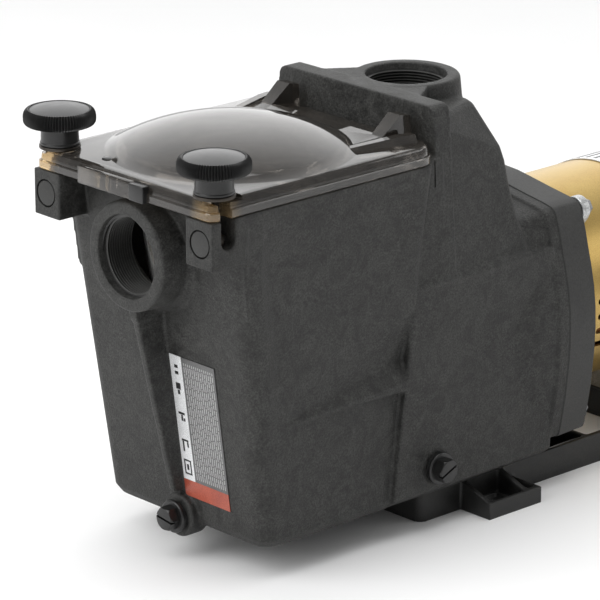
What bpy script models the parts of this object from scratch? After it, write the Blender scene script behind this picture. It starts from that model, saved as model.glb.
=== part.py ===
"""Self-priming pool pump: strainer pot and volute housing, clear lid, wet end, motor and base.

Lengths are in millimetres and turned into metres as each mesh is made. X runs along the pump's
shaft from the suction port's face (0) to the motor's rear end, Y is to the left seen from the
suction port, and Z is up from the floor. The whole pump is then centred on X.
"""
import math

import bmesh
import bpy
from mathutils import Vector

MM = 0.001
GAP = 0.3
MERGE = 0.00002
LARGE = 30
MEDIUM = 16
SMALL = 8

# Driving dimensions
OVERALL_LENGTH = 619.0
PORT_TOP_Z = 322.5
SHAFT_Z = 130.0
PORT_THREAD_R = 28.6
PORT_MOUTH_R = 30.2
PORT_BORE_R = 25.0
PORT_BOSS_R = 40.2

# Strainer pot
POT_BOTTOM_Z = 24.0
POT_TOP_Z = 284.7
POT_FRONT_X = 54.5
FRONT_LEAN = 0.135
POT_REAR_X = 225.0
POT_WALL = 6.5
POT_BOTTOM_HALF = 86.0
POT_TOP_HALF = 95.6
POT_CORNER_R = 13.0
POT_AXIS_X = 104.0
MOUTH_R = 76.0
MOUTH_LIP_R = 72.0
BASKET_SEAT_Z = 269.5
SUCTION_Z = 238.5

# Volute, tower and discharge port
VOLUTE_FRONT_X = 185.0
VOLUTE_HALF = 91.0
VOLUTE_TOP_Z = 193.0
CAVITY_R = 84.0
CAVITY_FRONT_X = 212.0
FLANGE_FRONT_X = 341.0
FLANGE_REAR_X = 350.7
FLANGE_HALF = 88.0
FLANGE_BULGE = 11.0
FLANGE_CORNER_R = 6.0
WALL_FRONT_X = 222.0
WALL_REAR_X = 236.0
WALL_HALF = 82.5
DISCHARGE_X = 274.2
PORT_COUNTERBORE = 4.0
PORT_DEPTH = 32.0
TOWER_CORNER_R = 21.0
# Height, rear edge and half width, from the bottom up
TOWER_STEPS = ((150, 330, 86), (193, 330, 86), (222, 322, 79.5), (247, 318, 76.5), (262, 317, 74),
               (272, 314, 72.5), (306, 292, 63), (309, 288, 60))
SEAL_PLATE_SEAT_X = 342.0
SEAL_PLATE_SEAT_R = 87.9
EYE_R = 32.4

# Where the housing is parted into nodes
RIM_SPLIT_Z = 262.2
RIM_FRONT_X = 46.0
PARTITION_X = 205.2
TOWER_SPLIT_Z = 199.0

# Lid and its clamps
LID_BOTTOM_Z = 285.0
LID_TOP_Z = 299.0
LID_FRONT_X = -3.0
LID_REAR_X = 217.0
LID_HALF = 95.0
LID_FRONT_CORNER_R = 6.0
LID_REAR_CORNER_R = 18.0
DOME_X = 100.0
DOME_R = 90.0
DOME_H = 21.0
LID_SEAL_R = 84.0
BOLT_X = 10.5
BOLT_Y = 83.0
PIN_Z = 267.7
BOLT_R = 3.5
KNOB_R = 26.2
KNOB_TOP_Z = 330.0
NECK_R = 14.0

# Drain plugs
PLUG_R = 7.0
FRONT_PLUG_Z = 32.0
FRONT_PLUG_FACE_X = 46.0
SIDE_PLUG_X = 220.0
SIDE_PLUG_Z = 50.0
SIDE_PLUG_FACE_Y = -91.6

# Adapter, motor and base
ADAPTER_FRONT_X = 351.0
ADAPTER_REAR_X = 381.0
MOTOR_R = 82.0
BELL_LUG_X = 389.3
SHELL_REAR_X = 572.0
CANOPY_REAR_X = 616.0
CORNER_BOLT_Y = 72.0
CORNER_BOLT_DZ = 80.0
CORNER_HOLE_R = 4.1
SHAFT_R = 8.5
BASE_TOP_Z = 23.7
BASE_FRONT_X = 220.0
BASE_REAR_X = 566.0
BASE_HALF = 74.0
FOOT_HALF = 104.5
BASE_SCREW_X = 300.0
BASE_SCREW_Y = 55.0
BASE_SCREW_R = 3.1
SHARP_ANGLE = math.radians(32)
FLAT_ANGLE = math.radians(0.05)

# The box's middle along X: from the knobs' front edge to the motor's rear end
CENTRE_X = (OVERALL_LENGTH + BOLT_X - KNOB_R) / 2


# ---------------------------------------------------------------- mesh helpers
for old in list(bpy.data.objects):
    bpy.data.objects.remove(old, do_unlink=True)


def material(name, colour, roughness, metallic=0.0, alpha=1.0):
    """One Principled material."""
    mat = bpy.data.materials.new(name)
    mat.use_nodes = True
    shader = mat.node_tree.nodes["Principled BSDF"]
    shader.inputs["Base Color"].default_value = (*colour, 1.0)
    shader.inputs["Roughness"].default_value = roughness
    shader.inputs["Metallic"].default_value = metallic
    shader.inputs["Alpha"].default_value = alpha
    mat.diffuse_color = (*colour, alpha)
    return mat


def on_axis(axis, u, v, w):
    """A point from its two cross-section coordinates and its place along the axis."""
    if axis == "X":
        return (w, u, v)
    if axis == "Y":
        return (u, w, v)
    return (u, v, w)


def make(name, bm, mat, origin=(0, 0, 0)):
    """An object from a bmesh in pump millimetres, with its own origin."""
    bmesh.ops.recalc_face_normals(bm, faces=bm.faces)
    shift = Vector((-CENTRE_X, 0, 0))
    for vert in bm.verts:
        vert.co = (vert.co - Vector(origin)) * MM
    mesh = bpy.data.meshes.new(name)
    bm.to_mesh(mesh)
    bm.free()
    mesh.materials.append(mat)
    mesh.shade_smooth()
    mesh.set_sharp_from_angle(angle=SHARP_ANGLE)
    obj = bpy.data.objects.new(name, mesh)
    obj.location = (Vector(origin) + shift) * MM
    bpy.context.collection.objects.link(obj)
    return obj


def loft(name, rings, mat, origin=(0, 0, 0)):
    """A closed solid through rings of points that all have the same count."""
    bm = bmesh.new()
    loops = [[bm.verts.new(point) for point in ring] for ring in rings]
    count = len(loops[0])
    for low, high in zip(loops, loops[1:]):
        for i in range(count):
            j = (i + 1) % count
            bm.faces.new((low[i], low[j], high[j], high[i]))
    bm.faces.new(loops[0])
    bm.faces.new(loops[-1])
    return make(name, bm, mat, origin)


def prism(name, outline, axis, low, high, mat, origin=(0, 0, 0)):
    """A flat outline pushed along an axis."""
    rings = [[on_axis(axis, u, v, w) for u, v in outline] for w in (low, high)]
    return loft(name, rings, mat, origin)


def box(name, x_range, y_range, z_range, mat, origin=(0, 0, 0)):
    """A plain block."""
    (x0, x1), (y0, y1), (z0, z1) = x_range, y_range, z_range
    outline = [(x0, y0), (x1, y0), (x1, y1), (x0, y1)]
    return prism(name, outline, "Z", z0, z1, mat, origin)


def turned(name, profile, axis, centre, segments, mat, origin=None):
    """A turned solid. The profile is (radius, place along the axis).

    A profile that starts and ends at radius 0 is a solid; any other is closed into a ring.
    """
    bm = bmesh.new()
    cu, cv = centre
    rings = []
    for radius, w in profile:
        if radius == 0:
            rings.append([bm.verts.new(on_axis(axis, cu, cv, w))])
            continue
        ring = []
        for i in range(segments):
            a = 2 * math.pi * i / segments
            u, v = cu + radius * math.cos(a), cv + radius * math.sin(a)
            ring.append(bm.verts.new(on_axis(axis, u, v, w)))
        rings.append(ring)
    pairs = list(zip(rings, rings[1:]))
    if profile[0][0] != 0:
        pairs.append((rings[-1], rings[0]))
    for one, two in pairs:
        for i in range(segments):
            j = (i + 1) % segments
            if len(one) == 1:
                bm.faces.new((one[0], two[i], two[j]))
            elif len(two) == 1:
                bm.faces.new((one[i], one[j], two[0]))
            else:
                bm.faces.new((one[i], one[j], two[j], two[i]))
    if origin is None:
        origin = on_axis(axis, cu, cv, profile[0][1])
    return make(name, bm, mat, origin)


def rod(name, radius, low, high, axis, centre, segments, mat, origin=None):
    """A plain solid cylinder."""
    profile = [(0, low), (radius, low), (radius, high), (0, high)]
    return turned(name, profile, axis, centre, segments, mat, origin)


def tube(name, inner, outer, low, high, axis, centre, segments, mat, origin=None):
    """A plain ring or sleeve."""
    profile = [(inner, low), (outer, low), (outer, high), (inner, high)]
    return turned(name, profile, axis, centre, segments, mat, origin)


def apply_boolean(target, tool, operation):
    """Unite or cut the target with the tool, and drop the tool."""
    step = target.modifiers.new("step", "BOOLEAN")
    step.operation = operation
    step.solver = "EXACT"
    step.object = tool
    bpy.context.view_layer.update()
    graph = bpy.context.evaluated_depsgraph_get()
    result = bpy.data.meshes.new_from_object(target.evaluated_get(graph))
    target.modifiers.clear()
    old_mesh = target.data
    result.name = target.name
    target.data = result
    bpy.data.meshes.remove(old_mesh)
    bpy.data.objects.remove(tool, do_unlink=True)
    clean(target.data)
    target.data.shade_smooth()
    target.data.set_sharp_from_angle(angle=SHARP_ANGLE)


def clean(mesh):
    """Merge points that coincide and drop the splits that a Boolean leaves in flat faces."""
    bm = bmesh.new()
    bm.from_mesh(mesh)
    bmesh.ops.remove_doubles(bm, verts=bm.verts, dist=MERGE)
    bmesh.ops.dissolve_degenerate(bm, dist=MERGE, edges=bm.edges)
    bmesh.ops.dissolve_limit(bm, angle_limit=FLAT_ANGLE, verts=bm.verts, edges=bm.edges)
    bm.to_mesh(mesh)
    bm.free()


def add(target, *tools):
    """Unite the target with each tool."""
    for tool in tools:
        apply_boolean(target, tool, "UNION")


def cut(target, *tools):
    """Take each tool out of the target."""
    for tool in tools:
        apply_boolean(target, tool, "DIFFERENCE")


# ---------------------------------------------------------------- outlines
def arc(cu, cv, radius, start, end, steps):
    """Points along an arc, angles in degrees."""
    points = []
    for i in range(steps + 1):
        a = math.radians(start + (end - start) * i / steps)
        points.append((cu + radius * math.cos(a), cv + radius * math.sin(a)))
    return points


def rounded_rect(u0, u1, v0, v1, radius, steps=4):
    """A rectangle with round corners, counter-clockwise from its lower right corner."""
    return (
        arc(u1 - radius, v0 + radius, radius, -90, 0, steps)
        + arc(u1 - radius, v1 - radius, radius, 0, 90, steps)
        + arc(u0 + radius, v1 - radius, radius, 90, 180, steps)
        + arc(u0 + radius, v0 + radius, radius, 180, 270, steps)
    )


def bulged_square(half_u, v0, v1, radius, bulge, side_steps=5):
    """A square whose four sides bow outwards, with round corners."""
    mid_v = (v0 + v1) / 2
    half_v = (v1 - v0) / 2
    points = []
    for u, v in subdivided(rounded_rect(-half_u, half_u, v0, v1, radius, 3), side_steps):
        du = bulge * max(0.0, 1 - (v - mid_v) ** 2 / half_v**2) * (u / half_u)
        dv = bulge * max(0.0, 1 - u**2 / half_u**2) * ((v - mid_v) / half_v)
        points.append((u + du, v + dv))
    return points


def subdivided(outline, side_steps):
    """Split the long sides of an outline into equal steps."""
    points = []
    for here, after in zip(outline, outline[1:] + outline[:1]):
        points.append(here)
        if math.dist(here, after) > 30:
            for i in range(1, side_steps):
                t = i / side_steps
                points.append((here[0] + (after[0] - here[0]) * t, here[1] + (after[1] - here[1]) * t))
    return points


def front_x(z):
    """The pot's leaning front wall at a height."""
    return POT_FRONT_X - FRONT_LEAN * (z - POT_BOTTOM_Z)


def pot_half(z):
    """The pot's half width at a height."""
    t = (z - POT_BOTTOM_Z) / (POT_TOP_Z - POT_BOTTOM_Z)
    return POT_BOTTOM_HALF + (POT_TOP_HALF - POT_BOTTOM_HALF) * t


def ring_at_z(outline, z):
    return [(u, v, z) for u, v in outline]


def ring_at_x(outline, x):
    return [(x, u, v) for u, v in outline]


# ---------------------------------------------------------------- materials
plastic = material("housing_plastic", (0.045, 0.045, 0.043), 0.55)
base_plastic = material("base_plastic", (0.022, 0.022, 0.023), 0.45)
clear = material("lid_clear", (0.30, 0.27, 0.24), 0.08, alpha=0.35)
rubber = material("seal_rubber", (0.012, 0.012, 0.012), 0.7)
white_plastic = material("basket_white", (0.80, 0.80, 0.77), 0.4)
knob_black = material("knob_black", (0.018, 0.018, 0.019), 0.32)
steel = material("steel", (0.55, 0.55, 0.56), 0.3, 1.0)
brass = material("brass", (0.72, 0.52, 0.24), 0.3, 1.0)
gold_paint = material("motor_gold", (0.58, 0.38, 0.08), 0.3, 0.8)
aluminium = material("cast_aluminium", (0.68, 0.69, 0.70), 0.4, 1.0)
copper = material("copper_winding", (0.62, 0.27, 0.11), 0.4, 1.0)
iron = material("core_iron", (0.20, 0.20, 0.21), 0.5, 1.0)
ceramic = material("seal_ceramic", (0.85, 0.83, 0.78), 0.25)
graphite = material("seal_carbon", (0.05, 0.05, 0.05), 0.4)
label_grey = material("label_grey", (0.55, 0.55, 0.54), 0.35)
label_silver = material("nameplate_silver", (0.75, 0.75, 0.74), 0.3, 0.6)
inner_plastic = material("wet_end_plastic", (0.06, 0.06, 0.065), 0.45)


# ---------------------------------------------------------------- pump housing
def pot_body():
    """The tapered pot with its leaning front wall."""
    rings = []
    for z, inset in ((POT_BOTTOM_Z, 7), (POT_BOTTOM_Z + 2, 3), (POT_BOTTOM_Z + 8, 0), (POT_TOP_Z, 0)):
        half = pot_half(z) - inset
        outline = rounded_rect(front_x(z) + inset, POT_REAR_X, -half, half, POT_CORNER_R)
        rings.append(ring_at_z(outline, z))
    return loft("pump_housing", rings, plastic)


def volute_block():
    front = rounded_rect(-VOLUTE_HALF, VOLUTE_HALF, POT_BOTTOM_Z, VOLUTE_TOP_Z, 5)
    rear = rounded_rect(-VOLUTE_HALF, VOLUTE_HALF, POT_BOTTOM_Z + 10, VOLUTE_TOP_Z, 10)
    rings = [ring_at_x(front, VOLUTE_FRONT_X), ring_at_x(front, 300), ring_at_x(rear, FLANGE_FRONT_X + 1)]
    return loft("volute_block", rings, plastic)


def flange_outline(inset):
    half = FLANGE_HALF - inset
    return bulged_square(half, SHAFT_Z - half - 2, SHAFT_Z + half + 2, FLANGE_CORNER_R, FLANGE_BULGE)


def volute_neck():
    rings = [ring_at_x(flange_outline(9), 314), ring_at_x(flange_outline(3), 323),
             ring_at_x(flange_outline(2), FLANGE_FRONT_X + 1)]
    return loft("volute_neck", rings, plastic)


def tower():
    """The volute's raised part."""
    rings = []
    for z, rear, half in TOWER_STEPS:
        outline = rounded_rect(WALL_FRONT_X + 4, rear, -half, half, TOWER_CORNER_R)
        rings.append(ring_at_z(outline, z))
    return loft("tower", rings, plastic)


def back_wall():
    outline = rounded_rect(-WALL_HALF, WALL_HALF, 180, PORT_TOP_Z, 8)
    return prism("back_wall", outline, "X", WALL_FRONT_X, WALL_REAR_X, plastic)


def discharge_boss():
    top = PORT_TOP_Z
    profile = [(0, 240), (PORT_BOSS_R + 8, 240), (PORT_BOSS_R + 6, 290), (PORT_BOSS_R + 1.5, 305),
               (PORT_BOSS_R, top - 2), (PORT_BOSS_R - 1.5, top), (0, top)]
    return turned("discharge_boss", profile, "Z", (DISCHARGE_X, 0), LARGE, plastic)


def discharge_web():
    """The flat web that joins the discharge boss to the top of the back wall."""
    outline = [(WALL_REAR_X - 6, -56), (DISCHARGE_X - 14, -37), (DISCHARGE_X, -30),
               (DISCHARGE_X, 30), (DISCHARGE_X - 14, 37), (WALL_REAR_X - 6, 56)]
    return prism("discharge_web", outline, "Z", 296, PORT_TOP_Z - 0.4, plastic)


def suction_boss():
    profile = [(0, 0), (PORT_BOSS_R - 1.5, 0), (PORT_BOSS_R, 1.5), (PORT_BOSS_R + 0.8, 22),
               (PORT_BOSS_R + 7, 34), (PORT_BOSS_R + 7, 44), (0, 44)]
    return turned("suction_boss", profile, "X", (0, SUCTION_Z), LARGE, plastic)


def front_fin():
    """The upright fin under the suction port."""
    outline = [(5.6, 200), (6, 192), (41, 52), (60, 50), (45, 200)]
    return prism("front_fin", outline, "Y", -3, 3, plastic)


def side_rib(side):
    """The level triangular rib on the pot's side, deepest where it meets the volute."""
    low, edge_z, high = 117, 124, 140
    inner = side * (pot_half(low) - 5)
    shallow, deep = side * (pot_half(low) + 0.2), side * (VOLUTE_HALF - 0.4)
    rings = [[(60, inner, low), (60, shallow, low), (60, shallow, low + 1), (60, inner, low + 2)],
             [(VOLUTE_FRONT_X + 4, inner, low), (VOLUTE_FRONT_X + 4, deep, low),
              (VOLUTE_FRONT_X + 4, deep, edge_z), (VOLUTE_FRONT_X + 4, inner, high)]]
    return loft("side_rib", rings, plastic)


def clamp_block(side):
    """The block on a front corner that holds a swing bolt's pin."""
    y0, y1 = sorted((side * 68, side * 96))
    top = POT_TOP_Z - 0.4
    block = box("clamp_block", (-3.4, 30), (y0, y1), (250, top), plastic)
    low, high = [], []
    for ring, z, x0, outer in ((low, 205, 33, pot_half(205) - 0.3), (high, top, 24, 96)):
        y0, y1 = sorted((side * 72, side * outer))
        ring.extend([(x0, y0, z), (46, y0, z), (46, y1, z), (x0, y1, z)])
    add(block, loft("column", [low, high], plastic))
    return block


def clamp_block_cuts(side):
    y0, y1 = sorted((side * 73, side * 110))
    slot = box("slot", (BOLT_X - 4.1, BOLT_X + 4.1), (y0, y1), (260.5, 300), plastic)
    pin_hole = rod("pin_hole", 2.8, -2, 21, "X", (side * BOLT_Y, PIN_Z), SMALL, plastic)
    head_recess = rod("head_recess", 9.6, -10, -0.9, "X", (side * BOLT_Y, PIN_Z), MEDIUM, plastic)
    return slot, pin_hole, head_recess


def plug_boss(axis, centre, low, high):
    chamfer = math.copysign(1.5, high - low)
    profile = [(0, low), (15.0, low), (16.5, low + chamfer), (16.5, high), (0, high)]
    return turned("plug_boss", profile, axis, centre, MEDIUM, plastic)


def port_profile(face, inward, depth):
    """A threaded port from its face: counterbore, thread bore and passage."""
    steps = ((0, -1), (PORT_MOUTH_R, -1), (PORT_MOUTH_R, PORT_COUNTERBORE),
             (PORT_THREAD_R, PORT_COUNTERBORE + 1), (PORT_THREAD_R, PORT_DEPTH),
             (PORT_BORE_R, PORT_DEPTH), (PORT_BORE_R, depth), (0, depth))
    return [(radius, face + inward * distance) for radius, distance in steps]


def corner_places():
    """Where the four corner bolts pass, as (Y, Z)."""
    return [(y, z) for y in (-CORNER_BOLT_Y, CORNER_BOLT_Y)
            for z in (SHAFT_Z - CORNER_BOLT_DZ, SHAFT_Z + CORNER_BOLT_DZ)]


def housing_moulding():
    """The whole moulding: pot, volute, tower, bosses, flange and clamp blocks, with their hollows."""
    housing = pot_body()
    add(housing, volute_block(), volute_neck(), tower(), back_wall(), discharge_boss(), discharge_web())
    flange = loft("flange", [ring_at_x(flange_outline(0), FLANGE_FRONT_X),
                             ring_at_x(flange_outline(0), FLANGE_REAR_X)], plastic)
    add(housing, flange, suction_boss(), front_fin(), side_rib(-1), side_rib(1))
    add(housing, clamp_block(-1), clamp_block(1))
    add(housing, plug_boss("X", (0, FRONT_PLUG_Z), FRONT_PLUG_FACE_X, 62))
    add(housing, plug_boss("Y", (SIDE_PLUG_X, SIDE_PLUG_Z), SIDE_PLUG_FACE_Y, -80))

    inner_low, inner_high = POT_BOTTOM_Z + POT_WALL, BASKET_SEAT_Z - 7
    rings = []
    for z in (inner_low, inner_high):
        half = pot_half(z) - POT_WALL
        outline = rounded_rect(front_x(z) + POT_WALL, CAVITY_FRONT_X - 6.5, -half, half, POT_CORNER_R - 4)
        rings.append(ring_at_z(outline, z))
    pot_inside = loft("pot_inside", rings, plastic)
    mouth = turned("mouth", [(0, inner_high - 2), (MOUTH_LIP_R, inner_high - 2),
                             (MOUTH_LIP_R, BASKET_SEAT_Z), (MOUTH_R, BASKET_SEAT_Z), (MOUTH_R, 290),
                             (0, 290)], "Z", (POT_AXIS_X, 0), LARGE, plastic)
    suction = turned("suction", port_profile(0, 1, 52), "X", (0, SUCTION_Z), LARGE, plastic)
    discharge = turned("discharge", port_profile(PORT_TOP_Z, -1, PORT_TOP_Z - 262), "Z",
                       (DISCHARGE_X, 0), LARGE, plastic)
    cavity = turned("cavity", [(0, CAVITY_FRONT_X), (CAVITY_R, CAVITY_FRONT_X),
                               (CAVITY_R, SEAL_PLATE_SEAT_X), (SEAL_PLATE_SEAT_R, SEAL_PLATE_SEAT_X),
                               (SEAL_PLATE_SEAT_R, 360), (0, 360)], "X", (0, SHAFT_Z), LARGE, plastic)
    chamber = loft("chamber", [
        ring_at_z(rounded_rect(WALL_REAR_X + 2, 322, -72, 72, 16), 150),
        ring_at_z(rounded_rect(WALL_REAR_X + 2, 318, -72, 72, 16), 215),
        ring_at_z(rounded_rect(WALL_REAR_X + 2, 310, -62, 62, 16), 262),
        ring_at_z(rounded_rect(WALL_REAR_X + 6, 300, -36, 36, 16), 280)], plastic)
    eye = rod("eye", EYE_R, 195, 220, "X", (0, SHAFT_Z), LARGE, plastic)
    cut(housing, pot_inside, mouth, suction, chamber, discharge, cavity, eye)
    for side in (-1, 1):
        cut(housing, *clamp_block_cuts(side))
    drain_r = PLUG_R + GAP
    cut(housing, rod("front_drain", drain_r, 40, 70, "X", (0, FRONT_PLUG_Z), MEDIUM, plastic),
        rod("side_drain", drain_r, -100, -60, "Y", (SIDE_PLUG_X, SIDE_PLUG_Z), MEDIUM, plastic))
    for place in corner_places():
        cut(housing, rod("bolt_hole", CORNER_HOLE_R, 331, 360, "X", place, SMALL, plastic))
    for side in (-1, 1):
        place = (BASE_SCREW_X, side * BASE_SCREW_Y)
        cut(housing, rod("base_hole", BASE_SCREW_R, 20, 40, "Z", place, SMALL, plastic))
    return housing


def copy_of(source, name):
    """A second object with its own copy of the mesh."""
    twin = source.copy()
    twin.data = source.data.copy()
    twin.name = twin.data.name = name
    bpy.context.collection.objects.link(twin)
    return twin


def pump_housing():
    """The moulding, parted on flat planes into five simple nodes with a hair's gap at each plane.

    Each region is an outline in X and Z that runs right across the pump.
    """
    low, high, left, right = 0, 400, -50, 400
    half = GAP / 2

    def behind_front(z):
        return front_x(z) + POT_WALL + 0.7

    front_top, rim_z = behind_front(RIM_SPLIT_Z), RIM_SPLIT_Z
    regions = {
        "pot_front": [(left, low), (behind_front(low) - half, low), (front_top - half, rim_z + half),
                      (RIM_FRONT_X - half, rim_z + half), (RIM_FRONT_X - half, high), (left, high)],
        "strainer_pot": [(behind_front(low) + half, low), (PARTITION_X - half, low),
                         (PARTITION_X - half, rim_z - half), (front_top + half, rim_z - half)],
        "pot_rim": [(RIM_FRONT_X + half, rim_z + half), (PARTITION_X - half, rim_z + half),
                    (PARTITION_X - half, high), (RIM_FRONT_X + half, high)],
        "volute_housing": [(PARTITION_X + half, low), (right, low), (right, TOWER_SPLIT_Z - half),
                           (PARTITION_X + half, TOWER_SPLIT_Z - half)],
        "discharge_tower": [(PARTITION_X + half, TOWER_SPLIT_Z + half), (right, TOWER_SPLIT_Z + half),
                            (right, high), (PARTITION_X + half, high)],
    }
    moulding = housing_moulding()
    for name, outline in regions.items():
        region = prism("region", outline, "Y", -150, 150, plastic)
        apply_boolean(copy_of(moulding, name), region, "INTERSECT")
    bpy.data.objects.remove(moulding, do_unlink=True)


# ---------------------------------------------------------------- lid, seal and basket
def lid():
    """Domed lid with a seal groove, two forked ears, ribs, wedges and a front tab."""
    front, rear = LID_FRONT_CORNER_R, LID_REAR_CORNER_R
    half = LID_HALF
    outline = (arc(LID_REAR_X - rear, -half + rear, rear, -90, 0, 4)
               + arc(LID_REAR_X - rear, half - rear, rear, 0, 90, 4)
               + arc(LID_FRONT_X + front, half - front, front, 90, 180, 3)
               + arc(LID_FRONT_X + front, -half + front, front, 180, 270, 3))
    body = prism("lid", outline, "Z", LID_BOTTOM_Z, LID_TOP_Z, clear)
    steps = 6
    profile = [(0, LID_TOP_Z - 4), (DOME_R, LID_TOP_Z - 4), (DOME_R, LID_TOP_Z + 0.5)]
    inner = [(0, LID_BOTTOM_Z - 1), (MOUTH_R, LID_BOTTOM_Z - 1), (MOUTH_R, LID_TOP_Z - 2)]
    for i in range(1, steps + 1):
        t = 1 - i / steps
        height = 1 - t**2.4
        profile.append((DOME_R * t, LID_TOP_Z + 0.5 + DOME_H * height))
        inner.append(((MOUTH_R + 8) * t, LID_TOP_Z - 3 + DOME_H * height))
    inner[3] = (MOUTH_R, inner[3][1])
    add(body, turned("dome", profile, "Z", (DOME_X, 0), LARGE, clear))
    cut(body, turned("dome_inside", inner, "Z", (DOME_X + 2, 0), LARGE, clear))
    cut(body, tube("groove", LID_SEAL_R - 2.6, LID_SEAL_R + 2.6, 283, LID_BOTTOM_Z + 4.3,
                   "Z", (POT_AXIS_X, 0), LARGE, clear))
    for side in (-1, 1):
        y0, y1 = sorted((side * 73, side * 110))
        cut(body, box("fork", (BOLT_X - 5.5, BOLT_X + 5.5), (y0, y1), (280, 305), clear))
        y0, y1 = sorted((side * (BOLT_Y + 3), side * 110))
        cut(body, box("tine_step", (-10, 28), (y0, y1), (LID_TOP_Z - 3.2, 305), clear))
        y0, y1 = sorted((side * 68, side * 72))
        rib = [(138, 296), (215, 296), (215, 304.5), (142, 301)]
        add(body, prism("rib", rib, "Y", y0, y1, clear))
        y0, y1 = sorted((side * 55, side * 64))
        wedge = [(184, 296), (215, 296), (215, 314), (205, 317.5), (186, 302)]
        add(body, prism("wedge", wedge, "Y", y0, y1, clear))
    add(body, box("front_tab", (-6, 0), (-27, -11), (LID_BOTTOM_Z + 1, LID_TOP_Z - 3), clear))
    return body


def lid_gasket():
    section = 2.0
    centre_z = LID_BOTTOM_Z + section
    profile = ring_section(LID_SEAL_R, centre_z, section)
    return turned("lid_gasket", profile, "Z", (POT_AXIS_X, 0), LARGE, rubber)


def strainer_basket():
    """A tapered bucket with windows, an inlet facing the suction port and a fixed handle."""
    low, high = 92.0, BASKET_SEAT_Z + GAP
    bottom_r, top_r, wall = 48.0, 71.0, 2.5
    rim_r = MOUTH_R - 0.6
    profile = [(0, low), (bottom_r, low), (top_r, high), (rim_r, high), (rim_r, high + 3.5),
               (top_r - wall, high + 3.5), (bottom_r - wall, low + wall), (0, low + wall)]
    basket = turned("strainer_basket", profile, "Z", (POT_AXIS_X, 0), LARGE, white_plastic)
    columns, rows = 9, 2
    bm = bmesh.new()
    for row in range(rows):
        z0 = low + 12 + row * 80
        for column in range(columns):
            a = 2 * math.pi * (column + 0.5) / columns
            near_inlet = row > 0 and math.cos(a) < -0.7
            if near_inlet:
                continue
            corners = []
            for z in (z0, z0 + 66):
                for radius in (42, 84):
                    for across in (-8, 8):
                        x = POT_AXIS_X + radius * math.cos(a) - across * math.sin(a)
                        y = radius * math.sin(a) + across * math.cos(a)
                        corners.append(bm.verts.new((x, y, z)))
            a0, a1, a2, a3, b0, b1, b2, b3 = corners
            for face in ((a0, a1, a3, a2), (b0, b1, b3, b2), (a0, a1, b1, b0), (a2, a3, b3, b2),
                         (a0, a2, b2, b0), (a1, a3, b3, b1)):
                bm.faces.new(face)
    cut(basket, make("windows", bm, white_plastic))
    cut(basket, rod("inlet", 27, 20, 90, "X", (0, SUCTION_Z), MEDIUM, white_plastic))
    arch = arc(0, 180, 106, 48, 132, 12) + list(reversed(arc(0, 180, 102.5, 48, 132, 12)))
    handle = prism("handle", arch, "X", POT_AXIS_X - 5, POT_AXIS_X + 5, white_plastic)
    add(basket, handle)
    return basket


# ---------------------------------------------------------------- lid clamps
def clamp(side, suffix):
    """One swing bolt with its pin, washer, knob and threaded insert."""
    pivot = (BOLT_X, side * BOLT_Y, PIN_Z)
    centre = (BOLT_X, side * BOLT_Y)
    cross = (side * BOLT_Y, PIN_Z)
    bolt = tube("swing_bolt_" + suffix, 2.8, 6.5, BOLT_X - 3.4, BOLT_X + 3.4, "X", cross, MEDIUM, steel,
                pivot)
    add(bolt, rod("shank", BOLT_R, PIN_Z + 4.2, 322, "Z", centre, MEDIUM, steel))
    pin = [(0, -3.3), (9.2, -3.3), (9.2, -1.2), (2.5, -1.2), (2.5, 20), (0, 20)]
    turned("bolt_pin_" + suffix, pin, "X", cross, MEDIUM, plastic)
    seat_z = LID_TOP_Z + 0.5
    tube("knob_washer_" + suffix, BOLT_R + 0.4, 15, seat_z, seat_z + 2.5, "Z", centre, MEDIUM, steel,
         (*centre, seat_z))
    neck_z = seat_z + 2.5 + GAP
    knob(suffix, centre, neck_z)
    tube("knob_insert_" + suffix, BOLT_R + 0.5, 6.6, neck_z + 0.2, 316.7, "Z", centre, MEDIUM, brass,
         (*centre, neck_z))


def knob(suffix, centre, neck_z):
    """A knob with a round head, a neck and a blind bore from below."""
    outer = [(0, neck_z), (NECK_R, neck_z), (NECK_R - 0.4, 316), (KNOB_R - 3, 316.5), (KNOB_R, 318.5),
             (KNOB_R, 326), (KNOB_R - 2, 328), (KNOB_R - 8, 329.2), (0, KNOB_TOP_Z)]
    body = turned("knob_" + suffix, outer, "Z", centre, MEDIUM, knob_black, (*centre, neck_z))
    clear_r = BOLT_R + 0.6
    bore = [(0, neck_z - 2), (6.9, neck_z - 2), (6.9, 317), (clear_r, 317), (clear_r, 325.5), (0, 325.5)]
    cut(body, turned("bore", bore, "Z", centre, MEDIUM, knob_black))


# ---------------------------------------------------------------- drain plugs
def drain_plug(name, axis, centre, face, outward):
    """A screw plug whose flange squeezes an O-ring on its boss; outward is +1 or -1 along the axis."""
    def at(distance):
        return face + outward * distance

    origin = on_axis(axis, *centre, face)
    profile = [(0, at(-12)), (PLUG_R - 1.5, at(-12)), (PLUG_R, at(-10)), (PLUG_R, at(2.6)), (12, at(2.6)),
               (12, at(4.6)), (11, at(5.2)), (0, at(5.2))]
    plug = turned(name, profile, axis, centre, MEDIUM, knob_black, origin)
    hexagon = [(centre[0] + 9.2 * math.cos(math.pi / 3 * i), centre[1] + 9.2 * math.sin(math.pi / 3 * i))
               for i in range(6)]
    add(plug, prism("head", hexagon, axis, at(4.6), at(13), knob_black))
    slot = [(centre[0] + u, centre[1] + v) for u, v in ((-12, -0.9), (12, -0.9), (12, 0.9), (-12, 0.9))]
    cut(plug, prism("slot", slot, axis, at(10), at(15), knob_black))
    tube(name + "_oring", PLUG_R + 0.5, 11, at(GAP), at(2.3), axis, centre, MEDIUM, rubber, origin)


# ---------------------------------------------------------------- wet end
def rotor_origin(x):
    return (x, 0, SHAFT_Z)


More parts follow.
